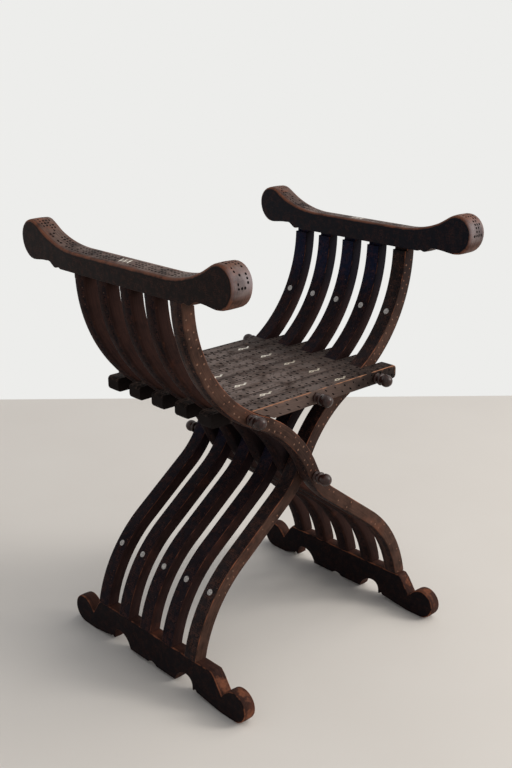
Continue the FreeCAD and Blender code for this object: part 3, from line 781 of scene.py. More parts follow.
@dataclass(frozen=True)
class CarvedWood(Finish):
    """Stained walnut, waxed: dark in the hollows, rubbed to a reddish brown on the arrises.

    Args:
        name: Name of the material.
        ground: Stain on the plain surfaces.
        deep: Stain where it lies darkest.
        carved: Stain on the finely carved surfaces.
        worn: Bare wood on rubbed arrises.
        rubbed: Wood on patches where the stain is thin.
        hole: Inside of a drilled dot.
        bone: The small pale dots.
        soot_and_shade: Old soiling and wax in the carving, and painted shade where the Shade mark is high.
        blue_shade: Blue-black painted shade and sky reflection on the carving where the Shade mark is
            highest, or empty where none is painted.
        polished: Grey painted highlight, laid where the Shade mark is below 0.
        gloss: Roughness of the waxed surface.
        shine: Strength of the reflections.
        spared: How evenly the arrises are rubbed, 0 for in patches, 1 for all along.
        crests: How much the ridges between the carved dots are rubbed and painted with glints, 0 to 1.
        relief: Contrast of the fine carving, 0 to 1.
        carving: Spacing of the fine carving, in millimetres, as are the sizes below.
        fibre_length: Length of the wood's fibres.
        fibre_width: Their width.
        cloud: Size of the clouds in the stain.
        thinning: Size of the patches where the stain is thin.
        patch: Length of a rubbed stretch of an arris.
        fleck: Size of the flecks in rubbed wood.
        tip: Distance between rubbed ridges of the carving.
    """

    name: str = "shaded_stained_walnut"
    ground: str = "#432A22"
    deep: str = "#241715"
    carved: str = "#1D1A20"
    worn: str = "#82503A"
    rubbed: str = "#60382A"
    hole: str = "#0B0706"
    bone: str = "#7C6454"
    soot_and_shade: str = "#120D10"
    blue_shade: str = ""
    polished: str = "#8E8486"
    gloss: float = 0.7
    shine: float = 0.07
    spared: float = 0.15
    crests: float = 0.28
    relief: float = 0.8
    carving: float = 3.4
    # Real fibres are finer than half a millimetre and flecks too; these are as coarse as they need to show.
    fibre_length: float = 38.462
    fibre_width: float = 2.3256
    fleck: float = 4.7619
    cloud: float = 38.462
    thinning: float = 90.909
    patch: float = 23.81
    tip: float = 11.111

    def surface(self, tree: bpy.types.NodeTree, place: bpy.types.NodeSocket) -> dict[str, object]:
        """Lays stain, soiling with painted shade, wear, carving with painted glints, a grey painted
        highlight and small marks over each other.

        Args:
            tree: The material's node tree.
            place: Places on the piece, in metres.

        Returns:
            What goes into the shader, by input.
        """
        put = partial(add, tree)
        chart = put("UVMap", uv_map=CHART)
        marks = ("Wear", "Mark", "Carved", "Shade")
        wear, mark, carved, shade = (put("Attribute", output="Fac", attribute_name=name) for name in marks)
        per_metre = (1 / (self.fibre_length * MM), 1 / (self.fibre_width * MM), 1)
        fibres = put("VectorMath", (chart, per_metre), operation="MULTIPLY")
        grain, cloud, thinned, patches, fine, tips = (
            put("TexNoise", {"Vector": vector, "Scale": scale, "Detail": detail, "Roughness": roughness})
            for vector, scale, detail, roughness in (
                (fibres, 1.0, 5.0, 0.55),
                (place, 1 / (self.cloud * MM), 4.0, 0.6),
                (place, 1 / (self.thinning * MM), 5.0, 0.65),
                (place, 1 / (self.patch * MM), 3.0, 0.55),
                (place, 1 / (self.fleck * MM), 2.0, 0.55),
                (place, 1 / (self.tip * MM), 3.0, 0.55),
            )
        )
        spacing = {"Vector": chart, "Scale": 1 / (self.carving * MM), "Randomness": 0.45}
        dots = put("TexVoronoi", spacing, "Distance", feature="F1")
        faint = put("Math", (grain, 0.4), operation="MULTIPLY")
        tone = put("Math", (cloud, 0.7, faint), operation="MULTIPLY_ADD")
        # The Shade mark carries old soiling and painted shade alike, and below 0 a grey painted highlight.
        murk = put("Math", (cloud, 0.9, shade), operation="MULTIPLY_ADD")
        stained, thin, darkest, dirt_and_shade, heavy_shade_share, patchy, pricked, ridged, tipped, highlight_share, clear, flecked = (
            put("MapRange", ends)
            for ends in (
                (tone, 0.42, 0.68),
                (thinned, 0.55, 0.72, 0.0, 0.7),
                (tone, 0.42, 0.72),
                (murk, 0.48, 1.25),
                (shade, 0.6, 0.85),
                (patches, 0.36, 0.6, self.spared, 1.0),
                (dots, 0.36, 0.18),
                (dots, 0.36, 0.56),
                (tips, 0.42, 0.62),
                (shade, 0.0, -1.0),
                (cloud, 0.35, 0.6, 0.3, 0.9),
                (fine, 0.35, 0.65),
            )
        )
        in_cuts, blue_shade_share, rubs, sunk_dots, ridge, hands = (
            put("Math", pair, operation="MULTIPLY")
            for pair in (
                (carved, 0.85),
                (carved, heavy_shade_share),
                (wear, patchy),
                (pricked, carved),
                (ridged, tipped),
                (highlight_share, clear),
            )
        )
        cut = put("Math", (sunk_dots, self.relief), operation="MULTIPLY")
        ridge = put("Math", (ridge, carved), operation="MULTIPLY")
        ridge_wear_and_glint = put("Math", (ridge, self.crests), operation="MULTIPLY")
        rub = put("Math", (fine, 0.6, rubs), operation="MULTIPLY_ADD")
        bright = put("MapRange", (rub, 0.62, 1.25))
        kinds = (float(Mark.HOLE.value), float(Mark.BONE.value))
        drilled, pale = (put("Math", (mark, kind, 0.3), operation="COMPARE") for kind in kinds)
        colour, dark, grime_and_shade, speck = (
            put("Mix", {0: share, 6: first, 7: second}, 2, data_type="RGBA")
            for share, first, second in (
                (stained, self.deep, self.ground),
                (darkest, self.soot_and_shade, self.carved),
                # Blue-black painted shade and sky reflection in the most shaded carving.
                (blue_shade_share, self.soot_and_shade, self.blue_shade or self.soot_and_shade),
                (flecked, self.bone, self.rubbed),
            )
        )
        coats = (
            (thin, self.rubbed),
            (in_cuts, dark),
            # Old soiling together with painted shade, by the Shade mark.
            (dirt_and_shade, grime_and_shade),
            (bright, self.worn),
            (cut, self.hole),
            # Rubbed ridges, partly wear and partly painted glints.
            (ridge_wear_and_glint, self.rubbed),
            # Grey painted highlight where the Shade mark is below 0.
            (hands, self.polished),
            (drilled, self.hole),
            (pale, speck),
        )
        for share, coat in coats:
            colour = put("Mix", {0: share, 6: colour, 7: coat}, 2, data_type="RGBA")
        sunk = put("Math", (cut, -1.0), operation="MULTIPLY")
        height = put("Math", (grain, 0.25, sunk), operation="MULTIPLY_ADD")
        return {
            "Base Color": colour,
            "Roughness": put("MapRange", (tone, 0.3, 0.8, self.gloss + 0.14, self.gloss - 0.08)),
            "Normal": put("Bump", {"Height": height, "Strength": 0.6, "Distance": 0.5 * MM}),
            "Specular IOR Level": self.shine,
        }


@dataclass(frozen=True)
class TurnedWood(Finish):
    """Turned walnut, stained almost black and polished by hands: round highlights over fine rings.

    Args:
        name: Name of the material.
        ground: Stain in the light rings.
        deep: Stain in the dark rings.
        gloss: Roughness of the polish.
        rings: Size of the pattern in millimetres across, along and up; rings are drawn coarser than real.
    """

    name: str = "turned_walnut"
    ground: str = "#3E231E"
    deep: str = "#1A0E0C"
    gloss: float = 0.3
    rings: Place = (11.111, 1.4286, 11.111)

    def surface(self, tree: bpy.types.NodeTree, place: bpy.types.NodeSocket) -> dict[str, object]:
        """Lays fine rings round the rod under the polish.

        Args:
            tree: The material's node tree.
            place: Places on the piece, in metres.

        Returns:
            What goes into the shader, by input.
        """
        per_metre = [1 / (size * MM) for size in self.rings]
        rings = add(tree, "VectorMath", (place, per_metre), operation="MULTIPLY")
        grain = add(tree, "TexNoise", {"Vector": rings, "Scale": 1.0, "Detail": 4.0})
        share = add(tree, "MapRange", (grain, 0.35, 0.7))
        return {
            "Base Color": add(tree, "Mix", {0: share, 6: self.deep, 7: self.ground}, 2, data_type="RGBA"),
            "Roughness": add(tree, "MapRange", (grain, 0.3, 0.7, self.gloss + 0.1, self.gloss - 0.04)),
            "Normal": add(tree, "Bump", {"Height": grain, "Strength": 0.25, "Distance": 0.2 * MM}),
            "Specular IOR Level": 0.3,
            "Coat Weight": 0.04,
            "Coat Roughness": 0.12,
        }


@dataclass(frozen=True)
class Shell(Finish):
    """Mother-of-pearl, sawn thin and polished: cream with faint grey clouds under a smooth lustre.

    Args:
        name: Name of the material.
        cream: Its light clouds.
        grey: Its dark clouds.
        gloss: Roughness where it is smoothest.
        cloud: Size of the clouds, in millimetres.
    """

    name: str = "cream_shell"
    cream: str = "#EBE3D2"
    grey: str = "#B4A68F"
    gloss: float = 0.22
    cloud: float = 3.8462

    def surface(self, tree: bpy.types.NodeTree, place: bpy.types.NodeSocket) -> dict[str, object]:
        """Lays twisted clouds under the lustre.

        Args:
            tree: The material's node tree.
            place: Places on the piece, in metres.

        Returns:
            What goes into the shader, by input.
        """
        size = 1 / (self.cloud * MM)
        cloud = add(tree, "TexNoise", {"Vector": place, "Scale": size, "Detail": 3.0, "Distortion": 1.2})
        share = add(tree, "MapRange", (cloud, 0.35, 0.65))
        return {
            "Base Color": add(tree, "Mix", {0: share, 6: self.grey, 7: self.cream}, 2, data_type="RGBA"),
            "Roughness": add(tree, "MapRange", (cloud, 0.0, 1.0, self.gloss, self.gloss + 0.2)),
            "Normal": add(tree, "Bump", {"Height": cloud, "Strength": 0.2, "Distance": 0.2 * MM}),
            "Coat Weight": 0.6,
            "Coat Roughness": 0.12,
        }


@dataclass(frozen=True)
class PaleFloor(Finish):
    """Matt painted floor, pale and almost even, so that the chair's shadow shows.

    Args:
        name: Name of the material.
        darker: Its darker tone.
        lighter: Its lighter tone.
        cloud: Size of its faint clouds, in millimetres.
    """

    name: str = "pale_floor"
    darker: str = "#D9D4CD"
    lighter: str = "#E0DCD6"
    cloud: float = 333.33

    def surface(self, tree: bpy.types.NodeTree, place: bpy.types.NodeSocket) -> dict[str, object]:
        """Lays wide faint clouds.

        Args:
            tree: The material's node tree.
            place: Places on the floor, in metres.

        Returns:
            What goes into the shader, by input.
        """
        cloud = add(tree, "TexNoise", {"Vector": place, "Scale": 1 / (self.cloud * MM), "Detail": 3.0})
        colour = add(tree, "Mix", {0: cloud, 6: self.darker, 7: self.lighter}, 2, data_type="RGBA")
        return {"Base Color": colour, "Roughness": 0.7}


def lathe(skin: Skin, profile: Sequence[Pair], hub: Place, way: int) -> None:
    """Turns a profile about the depth axis.

    Args:
        skin: Where the faces go.
        profile: Radius and distance outwards of its points, in millimetres, closed by the axis at both ends.
        hub: The point from which the distances count.
        way: -1 if outwards is towards the front, 1 towards the back.
    """
    turns = 40
    angles = [math.tau * turn / turns for turn in range(turns)]
    x, y, z = hub
    rings = [
        [skin.point((x + radius * math.cos(a), y + way * reach, z + radius * math.sin(a))) for a in angles]
        for radius, reach in profile
    ]
    for low, high in zip(rings, rings[1:]):
        skin.band(low, high)
    skin.cap(rings[0])
    skin.cap(rings[-1])


class Chisel:
    """Repeats hand work with small irregularities."""

    WIDEST = 0.46
    ROOM = 0.47

    def __init__(self, seed: int) -> None:
        """Starts with a seed, so that every run gives the same marks."""
        self.luck = random.Random(seed)

    def chance(self, share: float) -> bool:
        """True in that share of the cases."""
        return self.luck.random() < share

    def pit(self, kind: Pit) -> Pit:
        """A mark of about the size of its kind, near the middle of its cell.

        Args:
            kind: What all marks of the kind share.

        Returns:
            The mark, a little off in size, place and turn.
        """
        size = min(self.luck.uniform(0.8, 1.2), self.WIDEST / max(kind.half_along, kind.half_across))
        half_along, half_across = kind.half_along * size, kind.half_across * size
        return replace(
            kind,
            half_along=half_along,
            half_across=half_across,
            along=0.5 + self.luck.uniform(-1, 1) * (self.ROOM - half_along) * 0.6,
            across=0.5 + self.luck.uniform(-1, 1) * (self.ROOM - half_across) * 0.5,
            turn=self.luck.uniform(-kind.swing, kind.swing),
        )


@dataclass(frozen=True)
class StaveRow:
    """The five staves of one frame, carved on their upper and under sides, in millimetres."""

    hand: Hand
    curve: StaveCurve = StaveCurve()
    # Painted shade on the staves behind the first ones.
    hidden_stave_shade: float = 0.32
    dotted: float = 470.0
    upper_corner: float = 1.5
    lower_corner: float = 4.2
    front_corner: float = 1.6
    crown: float = 0.5
    belly: float = 2.2
    bare_rows: int = 3
    # Where painted shade gathers round the crossing and under the right arm.
    crossing_height: float = 380.0
    crossing_shade_reach: float = 130.0
    arm_shade_height: float = 540.0
    arm_shade_run: float = 120.0
    groove: Pit = Pit(0.3, 0.08, 0.5, square=1.0)
    hole: Pit = Pit(0.16, 0.13, 0.9)
    pale_fleck: Pit = Pit(0.1, 0.08, 0.15, mark=Mark.BONE)
    pale_dot: Pit = Pit(0.19, 0.16, 0.15, mark=Mark.BONE)

    def build(self, lit_first_wood: bpy.types.Material, wood: bpy.types.Material) -> None:
        """Makes and dresses the staves.

        Args:
            lit_first_wood: Finish of the stave in front, in lighter colours that paint the stronger light on
                it, and more rubbed.
            wood: Finish of the others.
        """
        for number in range(1, LAYERS + 1):
            layer = self.hand.layer(number)
            first = layer <= 2
            skin = Skin()
            rows = self.curve.rows(self.hand.side, layer_depth(layer))
            half = self.curve.half_width
            front = self.front_corner if first else self.lower_corner
            radii = (self.upper_corner, self.upper_corner, self.lower_corner, front)
            worn = (1.0, 0.7, 0.25, 0.6) if first else (0.6, 0.5, 0.25, 0.35)
            section = Section(-half, half, HALF_LAYER, radii, worn, self.crown, self.belly)
            sweep(skin, rows, section, self._rule(layer), self._carved)
            node = f"{self.hand.value}_stave_{number}"
            piece = skin.build(f"{node}_carved", lit_first_wood if first else wood, self._shade(layer))
            hand_over(piece, node, self.hand.body)

    @staticmethod
    def _carved(side: Face, column: int) -> float:
        """Fine carving lies on the upper side, and along both edges of the under side.

        Args:
            side: Which side the cell is on.
            column: Its number across the side.

        Returns:
            How much fine carving it has, 0 to 1.
        """
        if side is Face.BOTTOM:
            return 0.5 if column == 1 else 0.95
        return 1.0 if side is Face.TOP else 0.0

    def _shade(self, layer: int) -> Callable[[Vector], float]:
        """Painted shade on a stave: on the staves behind the first, thickest round the crossing and under
        the right arm.

        Args:
            layer: Its layer.

        Returns:
            The rule that gives the painted shade at a place.
        """
        # Painted shade on the staves behind the first, and under the right arm.
        ground = 0.0 if layer <= 2 else self.hidden_stave_shade
        under = 0.6 if self.hand is Hand.RIGHT else 0.0

        def shade(place: Vector) -> float:
            """Painted shade at one place.

            Args:
                place: Where on the stave.

            Returns:
                The painted shade there, 0 to 1.
            """
            reach = math.hypot(place[0], place[2] - self.crossing_height)
            under_arm = under * clamp((place[2] - self.arm_shade_height) / self.arm_shade_run)
            return ground + under_arm + 0.5 * max(0.0, 1 - reach / self.crossing_shade_reach)

        return shade

    def _rule(self, layer: int) -> PitRule:
        """The marks of a stave.

        Args:
            layer: Its layer.

        Returns:
            The rule that gives each cell's mark.
        """
        chisel = Chisel(layer)

        def rule(side: Face, row: int, column: int, along: float) -> Pit | None:
            """Holes along the carved sides, pale dots in a zigzag on the front of the first staves.

            Args:
                side: Which side the cell is on.
                row: Its number along the piece.
                column: Its number across the side.
                along: Its distance along, in millimetres.

            Returns:
                The cell's mark, or None.
            """
            if row < self.bare_rows:
                return None
            if side in (Face.TOP, Face.BOTTOM):
                if column == 1:
                    return chisel.pit(self.groove) if row % 2 else None
                if (row + column // 2) % 2:
                    return chisel.pit(self.hole)
                return chisel.pit(self.pale_fleck) if chisel.chance(0.15) else None
            if side is Face.FRONT and layer <= 2 and (row + column) % 2 == 0:
                kept = 0.85 if along < self.dotted else 0.35
                return chisel.pit(self.pale_dot) if chisel.chance(kept) else None
            return None

        return rule


@dataclass(frozen=True)
class SeatPlanks:
    """The five seat planks hinged on one side, in millimetres, with free ends cut to the staves' bowl."""

    hand: Hand
    curve: StaveCurve = StaveCurve()
    hinge_slope: float = 31.6
    rise: float = 12.9
    drop: float = 12.5
    tail: float = 54.0
    tail_corner: float = 6.0
    rest_gap: float = 0.4
    notch_low: float = -5.5
    notch_high: float = 32.5
    notch_rise: float = 5.5
    notch_skin: float = 8.0
    notch_edge: float = 0.4
    step: float = 7.5
    inlay_half: float = 19.0
    joint_half: float = 14.2
    hole: Pit = Pit(0.38, 0.34, 2.2, square=0.3, swing=0.4)
    nick: Pit = Pit(0.26, 0.2, 1.2, square=0.8, swing=0.5)
    pale_dot: Pit = Pit(0.13, 0.09, 0.15, mark=Mark.BONE)
    front_hole: Pit = Pit(0.28, 0.2, 1.9)

    def hinge(self) -> Pair:
        """The hinge of the left side.

        Returns:
            Its place across and up, in the chair's frame.
        """
        bowl = self.curve.bends()[0]
        angle = math.radians(self.hinge_slope)
        return (
            bowl.radius * math.sin(angle) - bowl.centre[0],
            bowl.centre[1] - bowl.radius * math.cos(angle) + self.curve.pivot_height(),
        )

    def free_end(self, height: float) -> float:
        """Where a plank's free end lies beside the staves that carry it.

        Args:
            height: Height above the hinge.

        Returns:
            Its place across, counted from the middle of the chair towards the hinge.
        """
        bowl = self.curve.bends()[0]
        middle = (bowl.centre[0], bowl.centre[1] + self.curve.pivot_height() - self.hinge()[1])
        radius = bowl.radius - self.curve.half_width - self.rest_gap
        steep = math.radians(bowl.last)
        turn_x = middle[0] - radius * math.sin(steep)
        turn_z = middle[1] - radius * math.cos(steep)
        if height >= turn_z:
            return middle[0] - math.sqrt(radius**2 - (middle[1] - height) ** 2)
        return turn_x + (turn_z - height) / math.tan(steep)

    def rows(self, layer: int) -> list[Row]:
        """The stations of a plank, with the notch for the left hinge rod if it is a left one.

        Args:
            layer: The plank's layer.

        Returns:
            The stations from its free end to its tail.
        """
        hinge_x, hinge_z = self.hinge()
        depth = layer_depth(layer)
        side = -self.hand.side
        notched = self.hand is Hand.LEFT
        blind = notched and layer == 2 * LAYERS
        far = hinge_x + self.tail
        span = far - self.free_end(0)
        middle = (self.rise - self.drop) / 2
        half = (self.rise + self.drop) / 2

        def station(share: float, notch: bool, end: float) -> Placing:
            """Where the section's points come to lie at one station.

            Args:
                share: How far along the plank.
                notch: True in the notch.
                end: How far short of the end of its tail.

            Returns:
                The rule that places a point.
            """

            def place(high: float, deep: float) -> Place:
                """One point of the section in the chair's frame.

                Args:
                    high: Its height on the section.
                    deep: Its depth on the section.

                Returns:
                    Its place in millimetres.
                """
                up = high
                if notch and not (blind and deep > HALF_LAYER - self.notch_skin):
                    up = self.rise - (self.rise - high) * (self.rise - self.notch_rise) / (2 * half)
                if end < self.tail_corner:
                    slack = self.tail_corner - end
                    cut = self.tail_corner - math.sqrt(max(0.0, self.tail_corner**2 - slack**2))
                    up = middle + (up - middle) * (half - cut) / half
                x = mix(self.free_end(high), far, share)
                return side * x, depth + deep, hinge_z + up

            return place

        count = round(span / self.step)
        marks = [(number / count, False) for number in range(count)]
        if notched:
            low = 1 - (self.tail + self.notch_high) / span
            high = 1 - (self.tail + self.notch_low) / span
            gap = self.notch_edge / span
            clear = [s for s, _ in marks if abs(s - low) > 3 * gap and abs(s - high) > 3 * gap]
            marks = [(s, low < s < high) for s in clear]
            marks += [(low - gap, False), (low, True), (high, True), (high + gap, False)]
        marks = sorted(m for m in marks if m[0] < 1 - (self.tail_corner + 1) / span)
        rows = [Row(s * span, station(s, notch, self.tail)) for s, notch in marks]
        rubbed = 0.08 if notched else 0.45
        for angle in range(0, 91, 15):
            end = self.tail_corner * (1 - math.sin(math.radians(angle)))
            share = 1 - end / span
            rows.append(Row(share * span, station(share, False, end), rubbed if angle > 15 else 0.0))
        return rows

    def build(self, wood: bpy.types.Material) -> None:
        """Makes and dresses the planks.

        Args:
            wood: Their finish.
        """
        for number in range(1, LAYERS + 1):
            layer = self.hand.plank_layer(number)
            skin = Skin()
            radii = (1.2 if layer == 1 else 0.9, 0.9, 1.5, 1.5)
            worn = (1.5, 0.0, 0.0, 0.5) if layer == 1 else (0.12, 0.12, 0.2, 0.2)
            section = Section(-self.drop, self.rise, HALF_LAYER, radii, worn, 0.25, 0.25)
            sweep(skin, self.rows(layer), section, self._rule(layer), self._carved)
            node = f"{self.hand.value}_plank_{number}"
            piece = skin.build(f"{node}_carved", wood, self._shade)
            hand_over(piece, node, self.hand.planks)

    @staticmethod
    def _carved(side: Face, column: int) -> float:
        """Fine carving lies on top."""
        return 0.75 if side is Face.TOP else 0.0

    def _shade(self, place: Vector) -> float:
        """Soiling and painted shade on the planks: darker on their tails, soiling in the joints, painted
        shade to the right, darker in front.

        Args:
            place: Where on a plank.

        Returns:
            The soiling and painted shade there, 0 to 1.
        """
        hinge_x, hinge_z = self.hinge()
        full = 1.0 if self.hand is Hand.LEFT else 0.35
        tail = full * clamp((abs(place[0]) - hinge_x - 4) / 14)
        in_joint = abs((place[1] / LAYER_PITCH) % 1 - 0.5) * LAYER_PITCH > self.joint_half
        first = place[1] < -4.8 * LAYER_PITCH
        joint = 0.55 if in_joint and not first and place[2] > hinge_z + self.rise - 3 else 0.0
        # Painted shade: the right part of the seat darker, where its top catches less sheen.
        right = 0.5 * clamp((place[0] - 20) / 110)
        front = 0.22 * clamp((-100 - place[1]) / 50)
        return max(tail, joint, right + front)

    def _rule(self, layer: int) -> PitRule:
        """The marks of a plank.

        Args:
            layer: Its layer.

        Returns:
            The rule that gives each cell's mark.
        """
        chisel = Chisel(100 + layer)
        middle = self.inlay_place()

        def rule(side: Face, row: int, column: int, along: float) -> Pit | None:
            """Two rows of holes on top, and a zigzag of holes on the front of the first plank.

            Args:
                side: Which side the cell is on.
                row: Its number along the piece.
                column: Its number across the side.
                along: Its distance along, in millimetres.

            Returns:
                The cell's mark, or None.
            """
            if side is Face.TOP:
                if abs(along + self.step / 2 - middle) < self.inlay_half:
                    return None
                if column != 1 and (row + column // 2) % 2 == 0 and chisel.chance(0.92):
                    return chisel.pit(self.hole)
                if chisel.chance(0.1):
                    return chisel.pit(self.pale_dot)
                return chisel.pit(self.nick) if chisel.chance(0.3) else None
            if side is Face.FRONT and layer == 1 and (row + column) % 3 == 0:
                return chisel.pit(self.front_hole)
            return None

        return rule

    def inlay_place(self) -> float:
        """Distance of the shell inlay's middle along the plank."""
        low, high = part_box(f"{self.hand.value}_plank_inlays")
        return abs(low[0] + high[0]) / 2 / MM - self.free_end(0)


class Trace:
    """A closed outline seen from the side, in millimetres, with the rim radius at each point."""

    SCALLOP_STEP = 1.8

    def __init__(self, start: Pair, rim: float, step: float) -> None:
        """Starts an outline.

        Args:
            start: Its first point.
            rim: Radius of the rim there.
            step: Longest step between points.
        """
        self.points: list[Pair] = [start]
        self.rims: list[float] = [rim]
        self.rim = rim
        self.step = step

    def _put(self, y: float, z: float) -> None:
        """Adds a point."""
        self.points.append((y, z))
        self.rims.append(self.rim)

    def line(self, y: float, z: float) -> None:
        """Adds a straight.

        Args:
            y: Where it ends along the depth.
            z: Where it ends up.
        """
        start = self.points[-1]
        count = max(1, round(math.dist(start, (y, z)) / (1.2 * self.step)))
        for number in range(1, count + 1):
            share = number / count
            self._put(mix(start[0], y, share), mix(start[1], z, share))

    def arc(self, centre: Pair, end: Pair, turn: int, stretch: float = 1.0) -> None:
        """Adds an arc.

        Args:
            centre: Its centre.
            end: Where it ends.
            turn: 1 if it turns from the depth axis towards up, -1 for the other way.
            stretch: How much longer the part below the centre hangs down.
        """
        start = self.points[-1]
        radius = min(math.dist(centre, start), math.dist(centre, end))
        first = math.atan2(start[1] - centre[1], start[0] - centre[0])
        last = math.atan2(end[1] - centre[1], end[0] - centre[0])
        swing = ((last - first) * turn) % math.tau
        longest = self.step if radius < 60 else 1.2 * self.step
        widest = 12 if radius > 6 else 30
        count = max(2, round(radius * swing / longest), round(math.degrees(swing) / widest))
        for number in range(1, count + 1):
            angle = first + turn * swing * number / count
            rise = radius * math.sin(angle)
            rise *= stretch if rise < 0 else 1.0
            self._put(centre[0] + radius * math.cos(angle), centre[1] + rise)

    def wave(self, crests: Sequence[Pair]) -> None:
        """Adds soft scallops.

        Args:
            crests: Their crests and hollows in turn.
        """
        for y, z in crests:
            start = self.points[-1]
            count = max(3, round(abs(y - start[0]) / self.SCALLOP_STEP))
            for number in range(1, count + 1):
                share = number / count
                ease = 0.5 - 0.5 * math.cos(math.pi * share)
                self._put(mix(start[0], y, share), mix(start[1], z, ease))

    def closed(self) -> tuple[list[Vector], list[float], list[Vector]]:
        """Closes the outline.

        Returns:
            Its points, their rim radii and their mitred inward directions.
        """
        points = [Vector(p) for p in self.points]
        rims = list(self.rims)
        if (points[0] - points[-1]).length < 1e-3:
            points.pop()
            rims.pop()
        count = len(rims)
        rims = [sum(rims[(number + near) % count] for near in range(-2, 3)) / 5 for number in range(count)]
        area = sum(a.cross(b) for a, b in zip(points, points[1:] + points[:1]))
        sense = 1 if area > 0 else -1
        inward = []
        for number, here in enumerate(points):
            before = (here - points[number - 1]).normalized()
            after = (points[(number + 1) % count] - here).normalized()
            way = before + after
            normal = Vector((-way[1], way[0])).normalized() * sense
            half = max(0.5, normal.dot(Vector((-after[1], after[0])) * sense))
            inward.append(normal / half)
        return points, rims, inward


def slab(
    skin: Skin,
    trace: Trace,
    across: float,
    height: float,
    half: float,
    seams: Sequence[float],
    crown: float = 0.0,
    rule: PitRule = bare,
    carved: Callable[[Vector, Vector], float] = lambda point, inward: 0.0,
    rubbed: Callable[[Vector, float], float] = lambda point, share: 0.0,
    lift: Callable[[Vector, Vector, float], float] = lambda point, inward, side: 0.0,
    sides: float = 0.0,
) -> None:
    """Builds a board from its side outline, with rounded rims.

    Args:
        skin: Where the faces go.
        trace: The outline along the depth and up.
        across: Middle of the board across the chair.
        height: Where the outline's own zero lies above the floor.
        half: Half the board's thickness.
        seams: Where the cells across its edge part, in shares of the flat.
        crown: How far the middle of the edge stands above its rims.
        rule: Which mark each cell has, asked with the row and column.
        carved: How much fine carving a cell has.
        rubbed: How worn the edge's surface is at a place of the outline and a share across.
        lift: How much higher a place of the edge stands than the outline says.
        sides: How much fine carving both side faces have.
    """
    points, rims, inward = trace.closed()
    grid: list[list[int]] = []
    spots: list[list[Pair]] = []
    faces = [Face.BACK] + [Face.ARRIS] * 3 + [Face.TOP] * (len(seams) + 1) + [Face.ARRIS] * 3 + [Face.FRONT]
    run = 0.0
    runs = []
    for number, point in enumerate(points):
        rim = rims[number]
        fade = rim + crown + 0.1 + 0.7 * max(0.0, rim - 1.5)
        rub = 1.0 if rim > 1.6 else 0.25
        curve = []
        for turn in range(4):
            angle = math.radians(30 * turn)
            worn = rub if 0 < turn < 3 else 0.42 * rub
            curve.append((rim * (1 - math.cos(angle)), rim * (1 - math.sin(angle)) + crown, worn))
        flat = half - rim
        line: list[Place] = [(-half, fade, 0.0)]
        line += [(-half + into, inset, worn) for into, inset, worn in curve]
        line += [(mix(-flat, flat, s), crown * (2 * s - 1) ** 2, rubbed(point, s)) for s in seams]
        line += [(half - into, inset, worn) for into, inset, worn in reversed(curve)]
        line.append((half, fade, 0.0))
        ring = []
        spot = []
        for side, inset, wear in line:
            place = point + inward[number] * inset
            rise = lift(point, inward[number], side)
            ring.append(skin.point((across + side, place[0], height + place[1] + rise), wear))
            spot.append((run, side))
        grid.append(ring)
        spots.append(spot)
        runs.append(run)
        run += (points[(number + 1) % len(points)] - point).length
    total = len(points)
    for number in range(total):
        after = (number + 1) % total
        shift = run if after == 0 else 0.0
        for column, side in enumerate(faces):
            near, far = grid[number], grid[after]
            corners = (near[column], far[column], far[column + 1], near[column + 1])
            here, there = spots[number], spots[after]
            chart = (
                here[column],
                (there[column][0] + shift, there[column][1]),
                (there[column + 1][0] + shift, there[column + 1][1]),
                here[column + 1],
            )
            deep = Vector((0.0, inward[number][0], inward[number][1])).normalized()
            pit = rule(side, number, column - 4, runs[number]) if side is Face.TOP else None
            share = carved(points[number], inward[number]) if side is Face.TOP else 0.0
            skin.cell(corners, chart, pit, deep, share)
    for end in (0, -1):
        skin.face([ring[end] for ring in grid], [tuple(p) for p in points], carved=sides)


